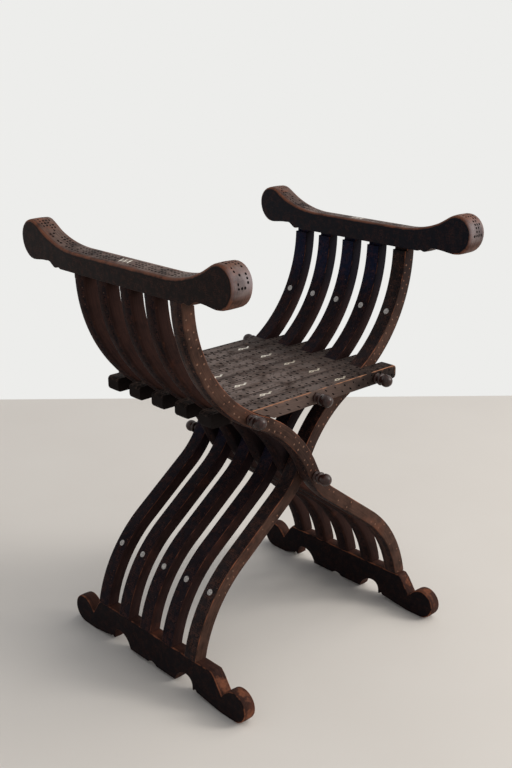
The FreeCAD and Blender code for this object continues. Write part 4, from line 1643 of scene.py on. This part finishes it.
@dataclass(frozen=True)
class ArmRail:
    """An arm rail, in millimetres: a board hollowed like a saddle between two scrolls with round noses."""

    hand: Hand
    reach_back: float
    centre: float = 268.4
    height: float = 704.6
    half_width: float = 20.0
    thickness: float = 33.0
    reach_front: float = 275.0
    scroll_radius: float = 32.0
    scroll_lift: float = 10.0
    hang: float = 1.15
    neck_slope: float = 31.0
    saddle_radius: float = 182.0
    scallops: tuple[Pair, ...] = ((84, 0), (77, 2.2), (68, 0.2), (48, 9.2), (40, 8.6))
    swell: float = 2.0
    tilt: float = 3.5
    upper_rim: float = 4.2
    lower_rim: float = 1.2
    step: float = 6.7
    seams: tuple[float, ...] = (0.12, 0.31, 0.5, 0.69, 0.88)
    crown: float = 0.6
    side_carving: float = 0.5
    # Painted shade on both side faces.
    side_shade: float = 0.85
    side_margin: float = 0.5
    inlay_half: float = 16.0
    saddle_fade: float = 24.0
    scroll_from: float = 190.0
    nose_from: float = 12.0
    # Where the grey painted highlight on each nose sits, and how far it spreads.
    highlight_height: float = 50.0
    highlight_reach: float = 24.0
    hole: Pit = Pit(0.38, 0.42, 2.0, square=0.4, swing=0.3)
    slot: Pit = Pit(0.42, 0.3, 2.0, square=0.4, swing=0.3)
    wide_chip: Pit = Pit(0.46, 0.44, 2.2, square=1.0, swing=0.1)
    narrow_chip: Pit = Pit(0.46, 0.34, 2.2, square=1.0, swing=0.1)

    def _end(self, trace: Trace, reach: float, way: int) -> None:
        """Draws one scroll.

        Args:
            trace: The outline so far.
            reach: Distance from the middle to the tip.
            way: 1 for the back scroll, drawn from below, -1 for the front one, drawn from above.
        """
        slope = math.radians(self.neck_slope)
        sine, cosine = math.sin(slope), math.cos(slope)
        middle = way * (reach - self.scroll_radius)
        nose = (middle, self.scroll_lift + self.scroll_radius)
        neck = (middle - way * self.scroll_radius * sine, nose[1] + self.scroll_radius * cosine)
        drop = self.saddle_radius * (1 - cosine)
        fall = neck[1] - self.thickness - drop
        half = self.scroll_radius * sine + fall / math.tan(slope) + self.saddle_radius * sine
        saddle_x = middle - way * half
        start = (saddle_x + way * self.saddle_radius * sine, self.thickness + drop)
        saddle = (saddle_x, self.thickness + self.saddle_radius)
        bottom = nose[1] - self.scroll_radius * self.hang
        scallops = [(middle - way * inside, z) for inside, z in self.scallops]
        if way > 0:
            trace.rim = self.lower_rim
            trace.line(*scallops[0])
            trace.wave(scallops[1:])
            trace.wave([(middle, bottom)])
            trace.rim = self.upper_rim
            trace.arc(nose, neck, 1, self.hang)
            trace.line(*start)
            trace.arc(saddle, (saddle_x, self.thickness), -1)
            return
        trace.line(saddle_x, self.thickness)
        trace.arc(saddle, start, -1)
        trace.line(*neck)
        trace.arc(nose, (middle, bottom), 1, self.hang)
        trace.rim = self.lower_rim
        trace.wave(scallops[::-1])

    def _shade(self, place: Vector) -> float:
        """Both side faces get nearly black painted shade, the noses of the scrolls a grey painted highlight.

        Args:
            place: Where on the arm.

        Returns:
            The painted shade there, below 0 for the painted highlight.
        """
        if abs(abs(place[0]) - self.centre) > self.half_width - self.side_margin:
            return self.side_shade
        tip = self.reach_back if place[1] > 0 else -self.reach_front
        away = math.hypot(place[1] - tip, place[2] - self.height - self.highlight_height)
        return -max(0.0, 1.15 - away / self.highlight_reach)

    def _lift(self, point: Vector, inward: Vector, side: float) -> float:
        """How much the saddle swells upwards, more so towards the chair's middle.

        Args:
            point: A point of the outline.
            inward: The way into the board there.
            side: Distance from the board's middle.

        Returns:
            How much higher the surface stands, in millimetres.
        """
        inner = 0.5 + self.hand.side * side / (2 * self.half_width)
        low = clamp(1 - (point[1] - self.thickness) / self.saddle_fade)
        return (self.swell + self.tilt * inner) * low * max(0.0, -inward[1])

    @staticmethod
    def _carved(point: Vector, inward: Vector) -> float:
        """Fine carving lies on the edge, save on its underside."""
        return 0.5 if inward[1] < 0.2 else 0.0

    def _rubbed(self, point: Vector, share: float) -> float:
        """Strips along both rims are rubbed, and the tops of the scrolls.

        Args:
            point: A point of the outline.
            share: How far across the edge, 0 to 1.

        Returns:
            The wear there.
        """
        rim = 0.5 if share < 0.2 or share > 0.8 else 0.0
        if abs(point[0]) < self.scroll_from:
            return rim
        return max(rim, 0.8 if point[1] > 58 else 0.4 if point[1] < 34 else 0.0)

    def build(self, wood: bpy.types.Material) -> None:
        """Makes and dresses the arm.

        Args:
            wood: Its finish.
        """
        trace = Trace((0, 0), self.lower_rim, self.step)
        self._end(trace, self.reach_back, 1)
        self._end(trace, self.reach_front, -1)
        trace.line(0, 0)
        skin = Skin()
        slab(
            skin,
            trace,
            -self.hand.side * self.centre,
            self.height,
            self.half_width,
            self.seams,
            self.crown,
            rule=self._rule(trace),
            carved=self._carved,
            rubbed=self._rubbed,
            lift=self._lift,
            sides=self.side_carving,
        )
        node = f"{self.hand.value}_arm"
        hand_over(skin.build(f"{node}_carved", wood, self._shade), node, self.hand.body)

    def _rule(self, trace: Trace) -> PitRule:
        """The marks of the arm.

        Args:
            trace: Its outline.

        Returns:
            The rule that gives each cell's mark.
        """
        points, _, inward = trace.closed()
        chisel = Chisel(200 + self.hand.side)
        chips: dict[tuple[int, int], bool] = {}

        def rule(side: Face, row: int, column: int, along: float) -> Pit | None:
            """Dense holes on the upper surface, fewer and longer chips on the noses of the scrolls.

            Args:
                side: Which side the cell is on.
                row: Its number along the piece.
                column: Its number across the side.
                along: Its distance along, in millimetres.

            Returns:
                The cell's mark, or None.
            """
            y, z = points[row]
            if inward[row][1] > 0.1 or abs(y) < self.inlay_half or column in (0, len(self.seams)):
                return None
            if inward[row][1] > -0.93 and z > self.thickness + self.nose_from:
                chip = (row // 2 if column % 2 else -row, column)
                if chip not in chips:
                    chips[chip] = chisel.chance(0.4)
                if not chips[chip]:
                    return None
                return chisel.pit(self.narrow_chip if column % 2 else self.wide_chip)
            kind = self.hole if chisel.chance(0.6) else self.slot
            return chisel.pit(kind) if chisel.chance(0.82) else None

        return rule


@dataclass(frozen=True)
class RunnerFoot:
    """A foot, in millimetres: a runner with ball ends, sloping shoulders, two arches and a notched apron."""

    hand: Hand
    frame: Hand
    reach_back: float
    centre: float = 239.96
    half_width: float = 12.0
    height: float = 68.0
    reach_front: float = 248.0
    ball: float = 27.5
    neck_drop: float = 11.5
    shoulder_run: float = 17.0
    shoulder_round: float = 8.0
    runner_flat: float = 35.0
    runner_lift: float = 8.0
    bead: float = 3.5
    arch_place: float = 97.0
    arch_radius: float = 16.0
    arch_height: float = 31.0
    apron_half: float = 65.0
    apron_height: float = 5.0
    notch_half: float = 12.0
    notch_rise: float = 5.0
    upper_rim: float = 2.2
    lower_rim: float = 0.7
    step: float = 5.0
    seams: tuple[float, ...] = (0.33, 0.67)
    crown: float = 0.4
    side_carving: float = 0.5
    # Painted shade on both side faces.
    side_shade: float = 0.85
    side_margin: float = 0.4

    def _end(self, trace: Trace, reach: float, way: int) -> None:
        """Draws one end.

        Args:
            trace: The outline so far.
            reach: Distance from the middle to the tip.
            way: 1 for the back end, drawn from below, -1 for the front one, drawn from above.
        """
        middle = way * (reach - self.ball)
        floor = middle - way * self.runner_flat
        outer = way * (self.arch_place + self.arch_radius)
        bead = outer + way * 2 * self.bead
        crown = way * self.arch_place
        diagonal = self.ball * math.sin(math.radians(45))
        neck_height = self.ball + diagonal - self.neck_drop
        neck = middle - way * (diagonal + self.neck_drop)
        shoulder = neck - way * self.shoulder_run
        top = shoulder - way * self.shoulder_round
        fall = self.arch_height - self.apron_height
        run = self.arch_place - self.apron_half
        inner_radius = (run**2 + fall**2) / (2 * fall)
        inner = (crown, self.arch_height - inner_radius)
        outside = (crown, self.arch_height - self.arch_radius)
        if way > 0:
            trace.rim = self.lower_rim
            trace.line(self.apron_half, self.apron_height)
            trace.arc(inner, (crown, self.arch_height), -1)
            trace.arc(outside, (outer, self.arch_height - self.arch_radius), -1)
            trace.line(outer, self.runner_lift)
            trace.line(bead - self.bead, self.runner_lift)
            trace.arc((bead, self.runner_lift), (bead + self.bead, self.runner_lift), -1)
            trace.line(floor, 0)
            trace.line(middle, 0)
            trace.rim = self.upper_rim
            trace.arc((middle, self.ball), (middle - diagonal, self.ball + diagonal), 1)
            trace.line(neck, neck_height)
            trace.line(shoulder, self.height - self.shoulder_round)
            trace.line(top, self.height)
            return
        trace.line(top, self.height)
        trace.line(shoulder, self.height - self.shoulder_round)
        trace.line(neck, neck_height)
        trace.line(middle + diagonal, self.ball + diagonal)
        trace.arc((middle, self.ball), (middle, 0), 1)
        trace.rim = self.lower_rim
        trace.line(floor, 0)
        trace.line(bead - self.bead, self.runner_lift)
        trace.arc((bead, self.runner_lift), (bead + self.bead, self.runner_lift), -1)
        trace.line(outer, self.runner_lift)
        trace.line(outer, self.arch_height - self.arch_radius)
        trace.arc(outside, (crown, self.arch_height), -1)
        trace.arc(inner, (-self.apron_half, self.apron_height), -1)

    def build(self, wood: bpy.types.Material) -> None:
        """Makes and dresses the foot.

        Args:
            wood: Its finish.
        """
        trace = Trace((self.notch_half, self.apron_height), self.lower_rim, self.step)
        self._end(trace, self.reach_back, 1)
        self._end(trace, self.reach_front, -1)
        trace.line(-self.notch_half, self.apron_height)
        radius = (self.notch_half**2 + self.notch_rise**2) / (2 * self.notch_rise)
        peak = (0.0, self.apron_height + self.notch_rise)
        for end in (peak, (self.notch_half, self.apron_height)):
            trace.arc((0, peak[1] - radius), end, -1)
        skin = Skin()
        slab(
            skin,
            trace,
            -self.hand.side * self.centre,
            0.0,
            self.half_width,
            self.seams,
            self.crown,
            rubbed=self._rubbed,
            sides=self.side_carving,
        )
        node = f"{self.hand.value}_foot"
        hand_over(skin.build(f"{node}_carved", wood, self._shade), node, self.frame.body)

    @staticmethod
    def _rubbed(point: Vector, share: float) -> float:
        """The front shoulder and the front ball are rubbed by feet."""
        return 0.72 if point[0] < -165 and point[1] > 12 else 0.1

    def _shade(self, place: Vector) -> float:
        """Both side faces get nearly black painted shade."""
        off = abs(abs(place[0]) - self.centre)
        return self.side_shade if off > self.half_width - self.side_margin else 0.0


@dataclass(frozen=True)
class Knob:
    """The profile of a turned knob, outwards from the wood, in millimetres."""

    gap: float = 0.3
    collar: float = 9.0
    collar_length: float = 4.0
    neck: float = 6.5
    neck_length: float = 5.0
    bead: float = 10.8
    bead_half: float = 3.4
    ball: float = 11.2
    ease: float = 0.7

    def profile(self) -> list[Pair]:
        """Its outline.

        Returns:
            Radius and reach of each point from the collar to the tip of the ball.
        """
        ease = self.ease
        collar = self.gap + self.collar_length
        start = collar + self.neck_length
        core = self.bead - self.bead_half
        middle = start + self.bead_half
        ball = start + 2 * self.bead_half + math.sqrt(self.ball**2 - core**2)
        points = [
            (self.collar - ease, self.gap),
            (self.collar, self.gap + ease),
            (self.collar, collar - ease),
            (self.collar - ease, collar),
            (self.neck + ease, collar),
            (self.neck, collar + ease),
            (self.neck, start - ease),
            (self.neck + ease / 2, start),
        ]
        for turn in range(0, 181, 20):
            angle = math.radians(turn - 90)
            reach = middle + self.bead_half * math.sin(angle)
            points.append((core + self.bead_half * math.cos(angle), reach))
        first = -math.degrees(math.acos(core / self.ball))
        for turn in range(1, 15):
            angle = math.radians(mix(first, 87, turn / 14))
            points.append((self.ball * math.cos(angle), ball + self.ball * math.sin(angle)))
        return points


@dataclass(frozen=True)
class TurnedRods:
    """The four rods with a knob in front, and the four knobs behind, in millimetres."""

    knob: Knob = Knob()
    shaft: float = 4.5
    core: float = 0.4
    face: float = 156.4

    def build(self, wood: bpy.types.Material) -> None:
        """Makes and dresses rods and back knobs.

        Args:
            wood: Their finish.
        """
        joints = {joint["name"]: joint["pos_m"] for joint in frame["record"]["behaviour"]["joints"]}
        right = joints["right_planks_hinge"]
        left = (-right[0], right[1], right[2])
        plan = (
            ("crossing_rod", "crossing_rod_back_knob", "left_frame", "left_frame", joints["fold"]),
            ("middle_rod", "middle_rod_back_knob", "right_planks", "right_planks", joints["middle_hinge"]),
            ("right_hinge_rod", "right_hinge_rod_back_knob", "right_frame", "right_frame", right),
            ("left_hinge_rod", "left_hinge_back_knob", "left_frame", "left_planks", left),
        )
        knob = self.knob.profile()
        for rod, back, body, back_body, place in plan:
            inner = -self.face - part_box(rod)[1][1] / MM
            shaft = [(self.core, inner), (self.shaft, inner), (self.shaft, self.knob.gap)]
            ends = ((rod, body, shaft, -1), (back, back_body, [(self.core, self.knob.gap)], 1))
            for node, rider, start, way in ends:
                skin = Skin()
                lathe(skin, start + knob, (place[0] / MM, way * self.face, place[2] / MM), way)
                hand_over(skin.build(f"{node}_turned", wood), node, rider)


@dataclass(frozen=True)
class Inlay:
    """Shell inlay, in millimetres: lozenges and zigzags on planks, strokes on arms, discs on staves."""

    half_length: float = 15.5
    half_width: float = 3.6
    plank_band: float = 3.5
    arm_band: float = 2.5
    proud: float = 0.12
    sunk: float = 1.0
    ease: float = 0.15
    disc_radius: float = 5.5
    disc_turns: int = 28
    upper_slope: float = 61.0
    lower_slope: float = 52.8
    ring: tuple[Pair, ...] = ((-1, -0.5), (-0.1, 1), (1, 0.3), (0.1, -1))
    tail: tuple[Pair, ...] = ((0.02, -0.1), (0.45, -0.75), (1.05, 0.95))
    strokes: tuple[Pair, ...] = (
        (-0.75, -1.8), (-0.45, 1.8), (-0.05, -1.7), (0.25, 1.7), (0.6, -1.8), (0.9, 1.8)
    )

    def zigzag(
        self,
        skin: Skin,
        middle: Place,
        along: Vector,
        across: Vector,
        knees: Sequence[Pair],
        band: float,
    ) -> None:
        """Adds one zigzag band lying flush in the wood.

        Args:
            skin: Where the faces go.
            middle: Its middle on the surface, in millimetres.
            along: Unit vector along it.
            across: Unit vector across it.
            knees: Its corners in shares of its half length and half width.
            band: Its width.
        """
        up = Vector((0, 0, 1))
        spine = [Vector((a * self.half_length, b * self.half_width)) for a, b in knees]
        left: list[Vector] = []
        right: list[Vector] = []
        for number, here in enumerate(spine):
            before = (here - spine[number - 1]).normalized() if number else (spine[1] - here).normalized()
            after = (spine[number + 1] - here).normalized() if number < len(spine) - 1 else before
            way = (before + after).normalized()
            normal = Vector((-way[1], way[0]))
            reach = band / 2 / max(0.55, normal.dot(Vector((-after[1], after[0]))))
            left.append(here + normal * reach)
            right.append(here - normal * reach)
        base = Vector(middle)
        tops, bottoms, eased = [], [], []
        rim = left + right[::-1]
        for spot in rim:
            inner = spot * 0.985
            edge = base + along * spot[0] + across * spot[1]
            tops.append(skin.point(base + along * inner[0] + across * inner[1] + up * self.proud))
            eased.append(skin.point(edge + up * (self.proud - self.ease)))
            bottoms.append(skin.point(edge - up * self.sunk))
        count = len(rim)
        skin.band(bottoms, eased)
        skin.band(eased, tops)
        half = len(left)
        for number in range(half - 1):
            pair = (number, number + 1, count - 2 - number, count - 1 - number)
            for layer in (tops, bottoms):
                skin.face([layer[p] for p in pair], [tuple(rim[p]) for p in pair])

    def lozenge(self, skin: Skin, middle: Place) -> None:
        """Adds the lozenge of a plank, with a small lozenge of wood left in its middle.

        Args:
            skin: Where the faces go.
            middle: The inlay's middle on the surface, in millimetres.
        """
        base = Vector(middle) + Vector((-0.42 * self.half_length, 0, 0))
        edge, top = self.proud - 0.12, self.proud + 0.03
        sizes = ((1, -self.sunk), (1, edge), (0.97, top), (0.4, top), (0.36, edge), (0.36, -self.sunk))
        rings = []
        for size, rise in sizes:
            reach = Vector((0.58 * self.half_length * size, 1.35 * self.half_width * size))
            spots = [Vector((a * reach[0], b * reach[1], rise)) for a, b in self.ring]
            rings.append([skin.point(base + spot) for spot in spots])
        for low, high in zip(rings, rings[1:] + rings[:1]):
            skin.band(low, high)

    def disc(self, skin: Skin, middle: Vector, up: Vector) -> None:
        """Adds one round disc, slightly domed.

        Args:
            skin: Where the faces go.
            middle: Its middle on the surface, in millimetres.
            up: Unit vector out of the wood.
        """
        side = Vector((0, 1, 0))
        along = side.cross(up).normalized()
        angles = [math.tau * turn / self.disc_turns for turn in range(self.disc_turns)]
        spokes = [side * math.cos(angle) + along * math.sin(angle) for angle in angles]
        rings = ((1.0, -self.sunk), (1.0, self.proud), (0.9, self.proud + 0.25), (0.5, self.proud + 0.45))
        loops = [
            [skin.point(middle + spoke * (self.disc_radius * share) + up * rise) for spoke in spokes]
            for share, rise in rings
        ]
        for low, high in zip(loops, loops[1:]):
            skin.band(low, high)
        skin.cap(loops[0])
        skin.cap(loops[-1])

    def build(self, shell: bpy.types.Material, pearl: bpy.types.Material) -> None:
        """Makes and dresses every inlay of the chair.

        Args:
            shell: Finish of the lozenges, zigzags and strokes.
            pearl: Finish of the discs.
        """
        for hand in Hand:
            self._planks(hand, shell)
            self._arm(hand, shell)
            self._discs(hand, pearl)

    def _planks(self, hand: Hand, shell: bpy.types.Material) -> None:
        """Makes the inlays of one side's planks.

        Args:
            hand: The side.
            shell: Their finish.
        """
        node = f"{hand.value}_plank_inlays"
        low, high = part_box(node)
        x, z = (low[0] + high[0]) / 2 / MM, high[2] / MM
        skin = Skin()
        for number in range(1, LAYERS + 1):
            middle = (x, layer_depth(hand.plank_layer(number)), z)
            self.lozenge(skin, middle)
            self.zigzag(skin, middle, Vector((1, 0, 0)), Vector((0, 1, 0)), self.tail, self.plank_band)
        hand_over(skin.build(f"{node}_shell", shell), node, hand.planks)

    def _arm(self, hand: Hand, shell: bpy.types.Material) -> None:
        """Makes the strokes on one arm.

        Args:
            hand: The side.
            shell: Their finish.
        """
        node = f"{hand.value}_arm_inlay"
        low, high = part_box(node)
        rail = ArmRail(hand, 0.0)
        rise = high[2] / MM + rail.swell + rail.tilt / 2
        middle = ((low[0] + high[0]) / 2 / MM, 0.0, rise)
        across = Vector((1, 0, hand.side * rail.tilt / (2 * rail.half_width)))
        skin = Skin()
        self.zigzag(skin, middle, Vector((0, 1, 0)), across, self.strokes, self.arm_band)
        hand_over(skin.build(f"{node}_shell", shell), node, hand.body)

    def _discs(self, hand: Hand, pearl: bpy.types.Material) -> None:
        """Makes the two rows of discs on one frame's staves.

        Args:
            hand: The side.
            pearl: Their finish.
        """
        curve = StaveCurve()
        bends = curve.bends()
        rise = curve.pivot_height()
        plan = (("upper", bends[0], self.upper_slope), ("lower", bends[-1], self.lower_slope))
        for which, bend, slope in plan:
            node = f"{hand.value}_stave_{which}_discs"
            share = (slope - bend.first) / (bend.last - bend.first)
            x, z = bend.point(share, curve.half_width)
            angle = math.radians(slope)
            up = Vector((hand.side * math.sin(angle), 0, math.cos(angle)))
            skin = Skin()
            for number in range(1, LAYERS + 1):
                middle = Vector((hand.side * x, layer_depth(hand.layer(number)), z + rise))
                self.disc(skin, middle, up)
            hand_over(skin.build(f"{node}_shell", pearl), node, hand.body)


@dataclass(frozen=True)
class Studio:
    """Camera, lights and floor round the chair, in metres and degrees; the focal length in millimetres."""

    eye: Place = (-1.2432, -1.3604, 1.1024)
    azimuth: float = -42.553
    elevation: float = 18.80
    roll: float = -0.43
    focal: float = 50.73
    sensor: float = 36.0
    view_depth: float = 60.0
    aim: Place = (0, 0, 0.45)
    key_place: Place = (1.6, -1.3, 2.6)
    key_power: float = 1.5
    key_spread: float = 70.0
    key_colour: str = "#FFF9F2"
    window_place: Place = (1.9, -2.3, 1.9)
    window_size: Pair = (0.9, 1.4)
    window_power: float = 48.0
    window_colour: str = "#FFFAF4"
    sky_colour: str = "#E9EBF0"
    sky_power: float = 0.42
    wall_colour: str = "#EDEDEB"
    wall_distance: float = 3.11
    floor_radius: float = 12.0

    def camera(self) -> None:
        """Sets up the camera."""
        a, e, r = (math.radians(v) for v in (self.azimuth, self.elevation, self.roll))
        right = Vector((math.cos(a), math.sin(a), 0))
        back = Vector((math.sin(a) * math.cos(e), -math.cos(a) * math.cos(e), math.sin(e)))
        up = back.cross(right)
        rolled_up = up * math.cos(r) - right * math.sin(r)
        turned = Matrix((right * math.cos(r) + up * math.sin(r), rolled_up, back))
        data = bpy.data.cameras.new("camera")
        data.sensor_fit = "VERTICAL"
        data.sensor_height = self.sensor
        data.lens = self.focal
        data.clip_end = self.view_depth
        camera = bpy.data.objects.new("camera", data)
        camera.matrix_world = Matrix.Translation(self.eye) @ turned.transposed().to_4x4()
        bpy.context.scene.collection.objects.link(camera)
        bpy.context.scene.camera = camera

    def lights(self) -> None:
        """Sets up a very soft key light and a window-sized light, both from the right and front."""
        key = bpy.data.lights.new("key", "SUN")
        key.energy = self.key_power
        key.angle = math.radians(self.key_spread)
        key.color = linear(self.key_colour)[:3]
        window = bpy.data.lights.new("window", "AREA")
        window.shape = "RECTANGLE"
        window.size, window.size_y = self.window_size
        window.energy = self.window_power
        window.color = linear(self.window_colour)[:3]
        for data, place in ((key, Vector(self.key_place)), (window, Vector(self.window_place))):
            lamp = bpy.data.objects.new(data.name, data)
            lamp.location = place
            lamp.rotation_euler = (Vector(self.aim) - place).to_track_quat("-Z", "Y").to_euler()
            bpy.context.scene.collection.objects.link(lamp)

    def world(self) -> None:
        """White behind the chair and in reflections, soft grey light from all sides."""
        world = bpy.data.worlds.new("studio")
        world.use_nodes = True
        tree = world.node_tree
        tree.nodes.clear()
        path = add(tree, "LightPath").node
        seen = path.outputs["Is Camera Ray"]
        for ray in ("Is Transmission Ray", "Is Glossy Ray"):
            seen = add(tree, "Math", (seen, path.outputs[ray]), operation="MAXIMUM")
        light = add(tree, "Background", (self.sky_colour, self.sky_power))
        white = add(tree, "Background", (self.wall_colour, 1.0))
        add(tree, "OutputWorld", (add(tree, "MixShader", (seen, light, white)),))
        bpy.context.scene.world = world

    def floor(self) -> None:
        """Lays the pale floor, cut off straight where the wall stands."""
        mesh = bpy.data.meshes.new("floor")
        work = bmesh.new()
        bmesh.ops.create_circle(work, cap_ends=True, segments=96, radius=self.floor_radius)
        angle = math.radians(self.azimuth)
        ahead = Vector((-math.sin(angle), math.cos(angle), 0))
        wall = Vector((self.eye[0], self.eye[1], 0)) + ahead * self.wall_distance
        parts = work.verts[:] + work.edges[:] + work.faces[:]
        bmesh.ops.bisect_plane(work, geom=parts, plane_co=wall, plane_no=ahead, clear_outer=True)
        work.to_mesh(mesh)
        work.free()
        floor = bpy.data.objects.new("floor", mesh)
        bpy.context.scene.collection.objects.link(floor)
        mesh.materials.append(PaleFloor().make())

    def build(self) -> None:
        """Sets the whole studio up."""
        self.camera()
        self.lights()
        self.world()
        self.floor()
        bpy.context.scene.view_settings.view_transform = "Standard"


def main() -> None:
    """Builds the chair's pieces in order and reports each."""
    logging.basicConfig(level=logging.INFO, format="%(name)s %(message)s")
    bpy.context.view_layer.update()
    Studio().build()
    # Stained walnut as the darker copy that paints shade on the pieces turned from the light: nearly black
    # hollows and reddish arrises.
    wood = CarvedWood().make()
    # The same as a lighter copy that paints the light on the staves in front, which are within reach:
    # browner and a little glossier.
    lit = {"ground": "#533B31", "deep": "#2E201B", "rubbed": "#744A39"}
    front = CarvedWood(name="lit_front_walnut", gloss=0.5, **lit).make()
    # The seat, bleached by use and painted lighter for the sheen on its top: greyish brown with shallow
    # carving.
    seat = CarvedWood(
        name="sheened_seat_walnut",
        ground="#74625B",
        deep="#544640",
        carved="#968B86",
        soot_and_shade="#171110",
        rubbed="#7B6459",
        worn="#A07257",
        crests=0.35,
        relief=0.35,
    ).make()
    # Walnut of the right frame: blue-black painted shade and sky reflection in the carving under the right
    # arm.
    blue_shaded = CarvedWood(name="blackened_walnut", soot_and_shade="#120F17", blue_shade="#141B31").make()
    # The arms, smoothed by hands: glossier, rubbed evenly along their arrises, and painted lighter on top
    # for the sheen there.
    arm = CarvedWood(
        name="arm_walnut",
        ground="#64483E",
        carved="#8A7B72",
        soot_and_shade="#160E0E",
        worn="#7A4E3C",
        rubbed="#5F3A30",
        relief=0.45,
        spared=0.5,
        crests=0.45,
        gloss=0.45,
    )
    left_rail = arm.make()
    # The right arm's sides take a blue-black painted shade.
    right_rail = replace(arm, name="blackened_arm_walnut", soot_and_shade="#16161D").make()
    # The discs' mother-of-pearl has gone grey, while the other inlay is still cream.
    pearl = Shell(name="grey_pearl", cream="#C4BEB8", grey="#837D79", gloss=0.16).make()
    turned = TurnedWood().make()
    shell = Shell().make()
    for hand in Hand:
        StaveRow(hand).build(front, wood if hand is Hand.LEFT else blue_shaded)
        SeatPlanks(hand).build(seat)
    ArmRail(Hand.LEFT, 275.0).build(left_rail)
    ArmRail(Hand.RIGHT, 248.0).build(right_rail)
    RunnerFoot(Hand.LEFT, Hand.RIGHT, 238.0).build(wood)
    RunnerFoot(Hand.RIGHT, Hand.LEFT, 215.0).build(wood)
    TurnedRods().build(turned)
    Inlay().build(shell, pearl)


if __name__ == "__main__":
    main()
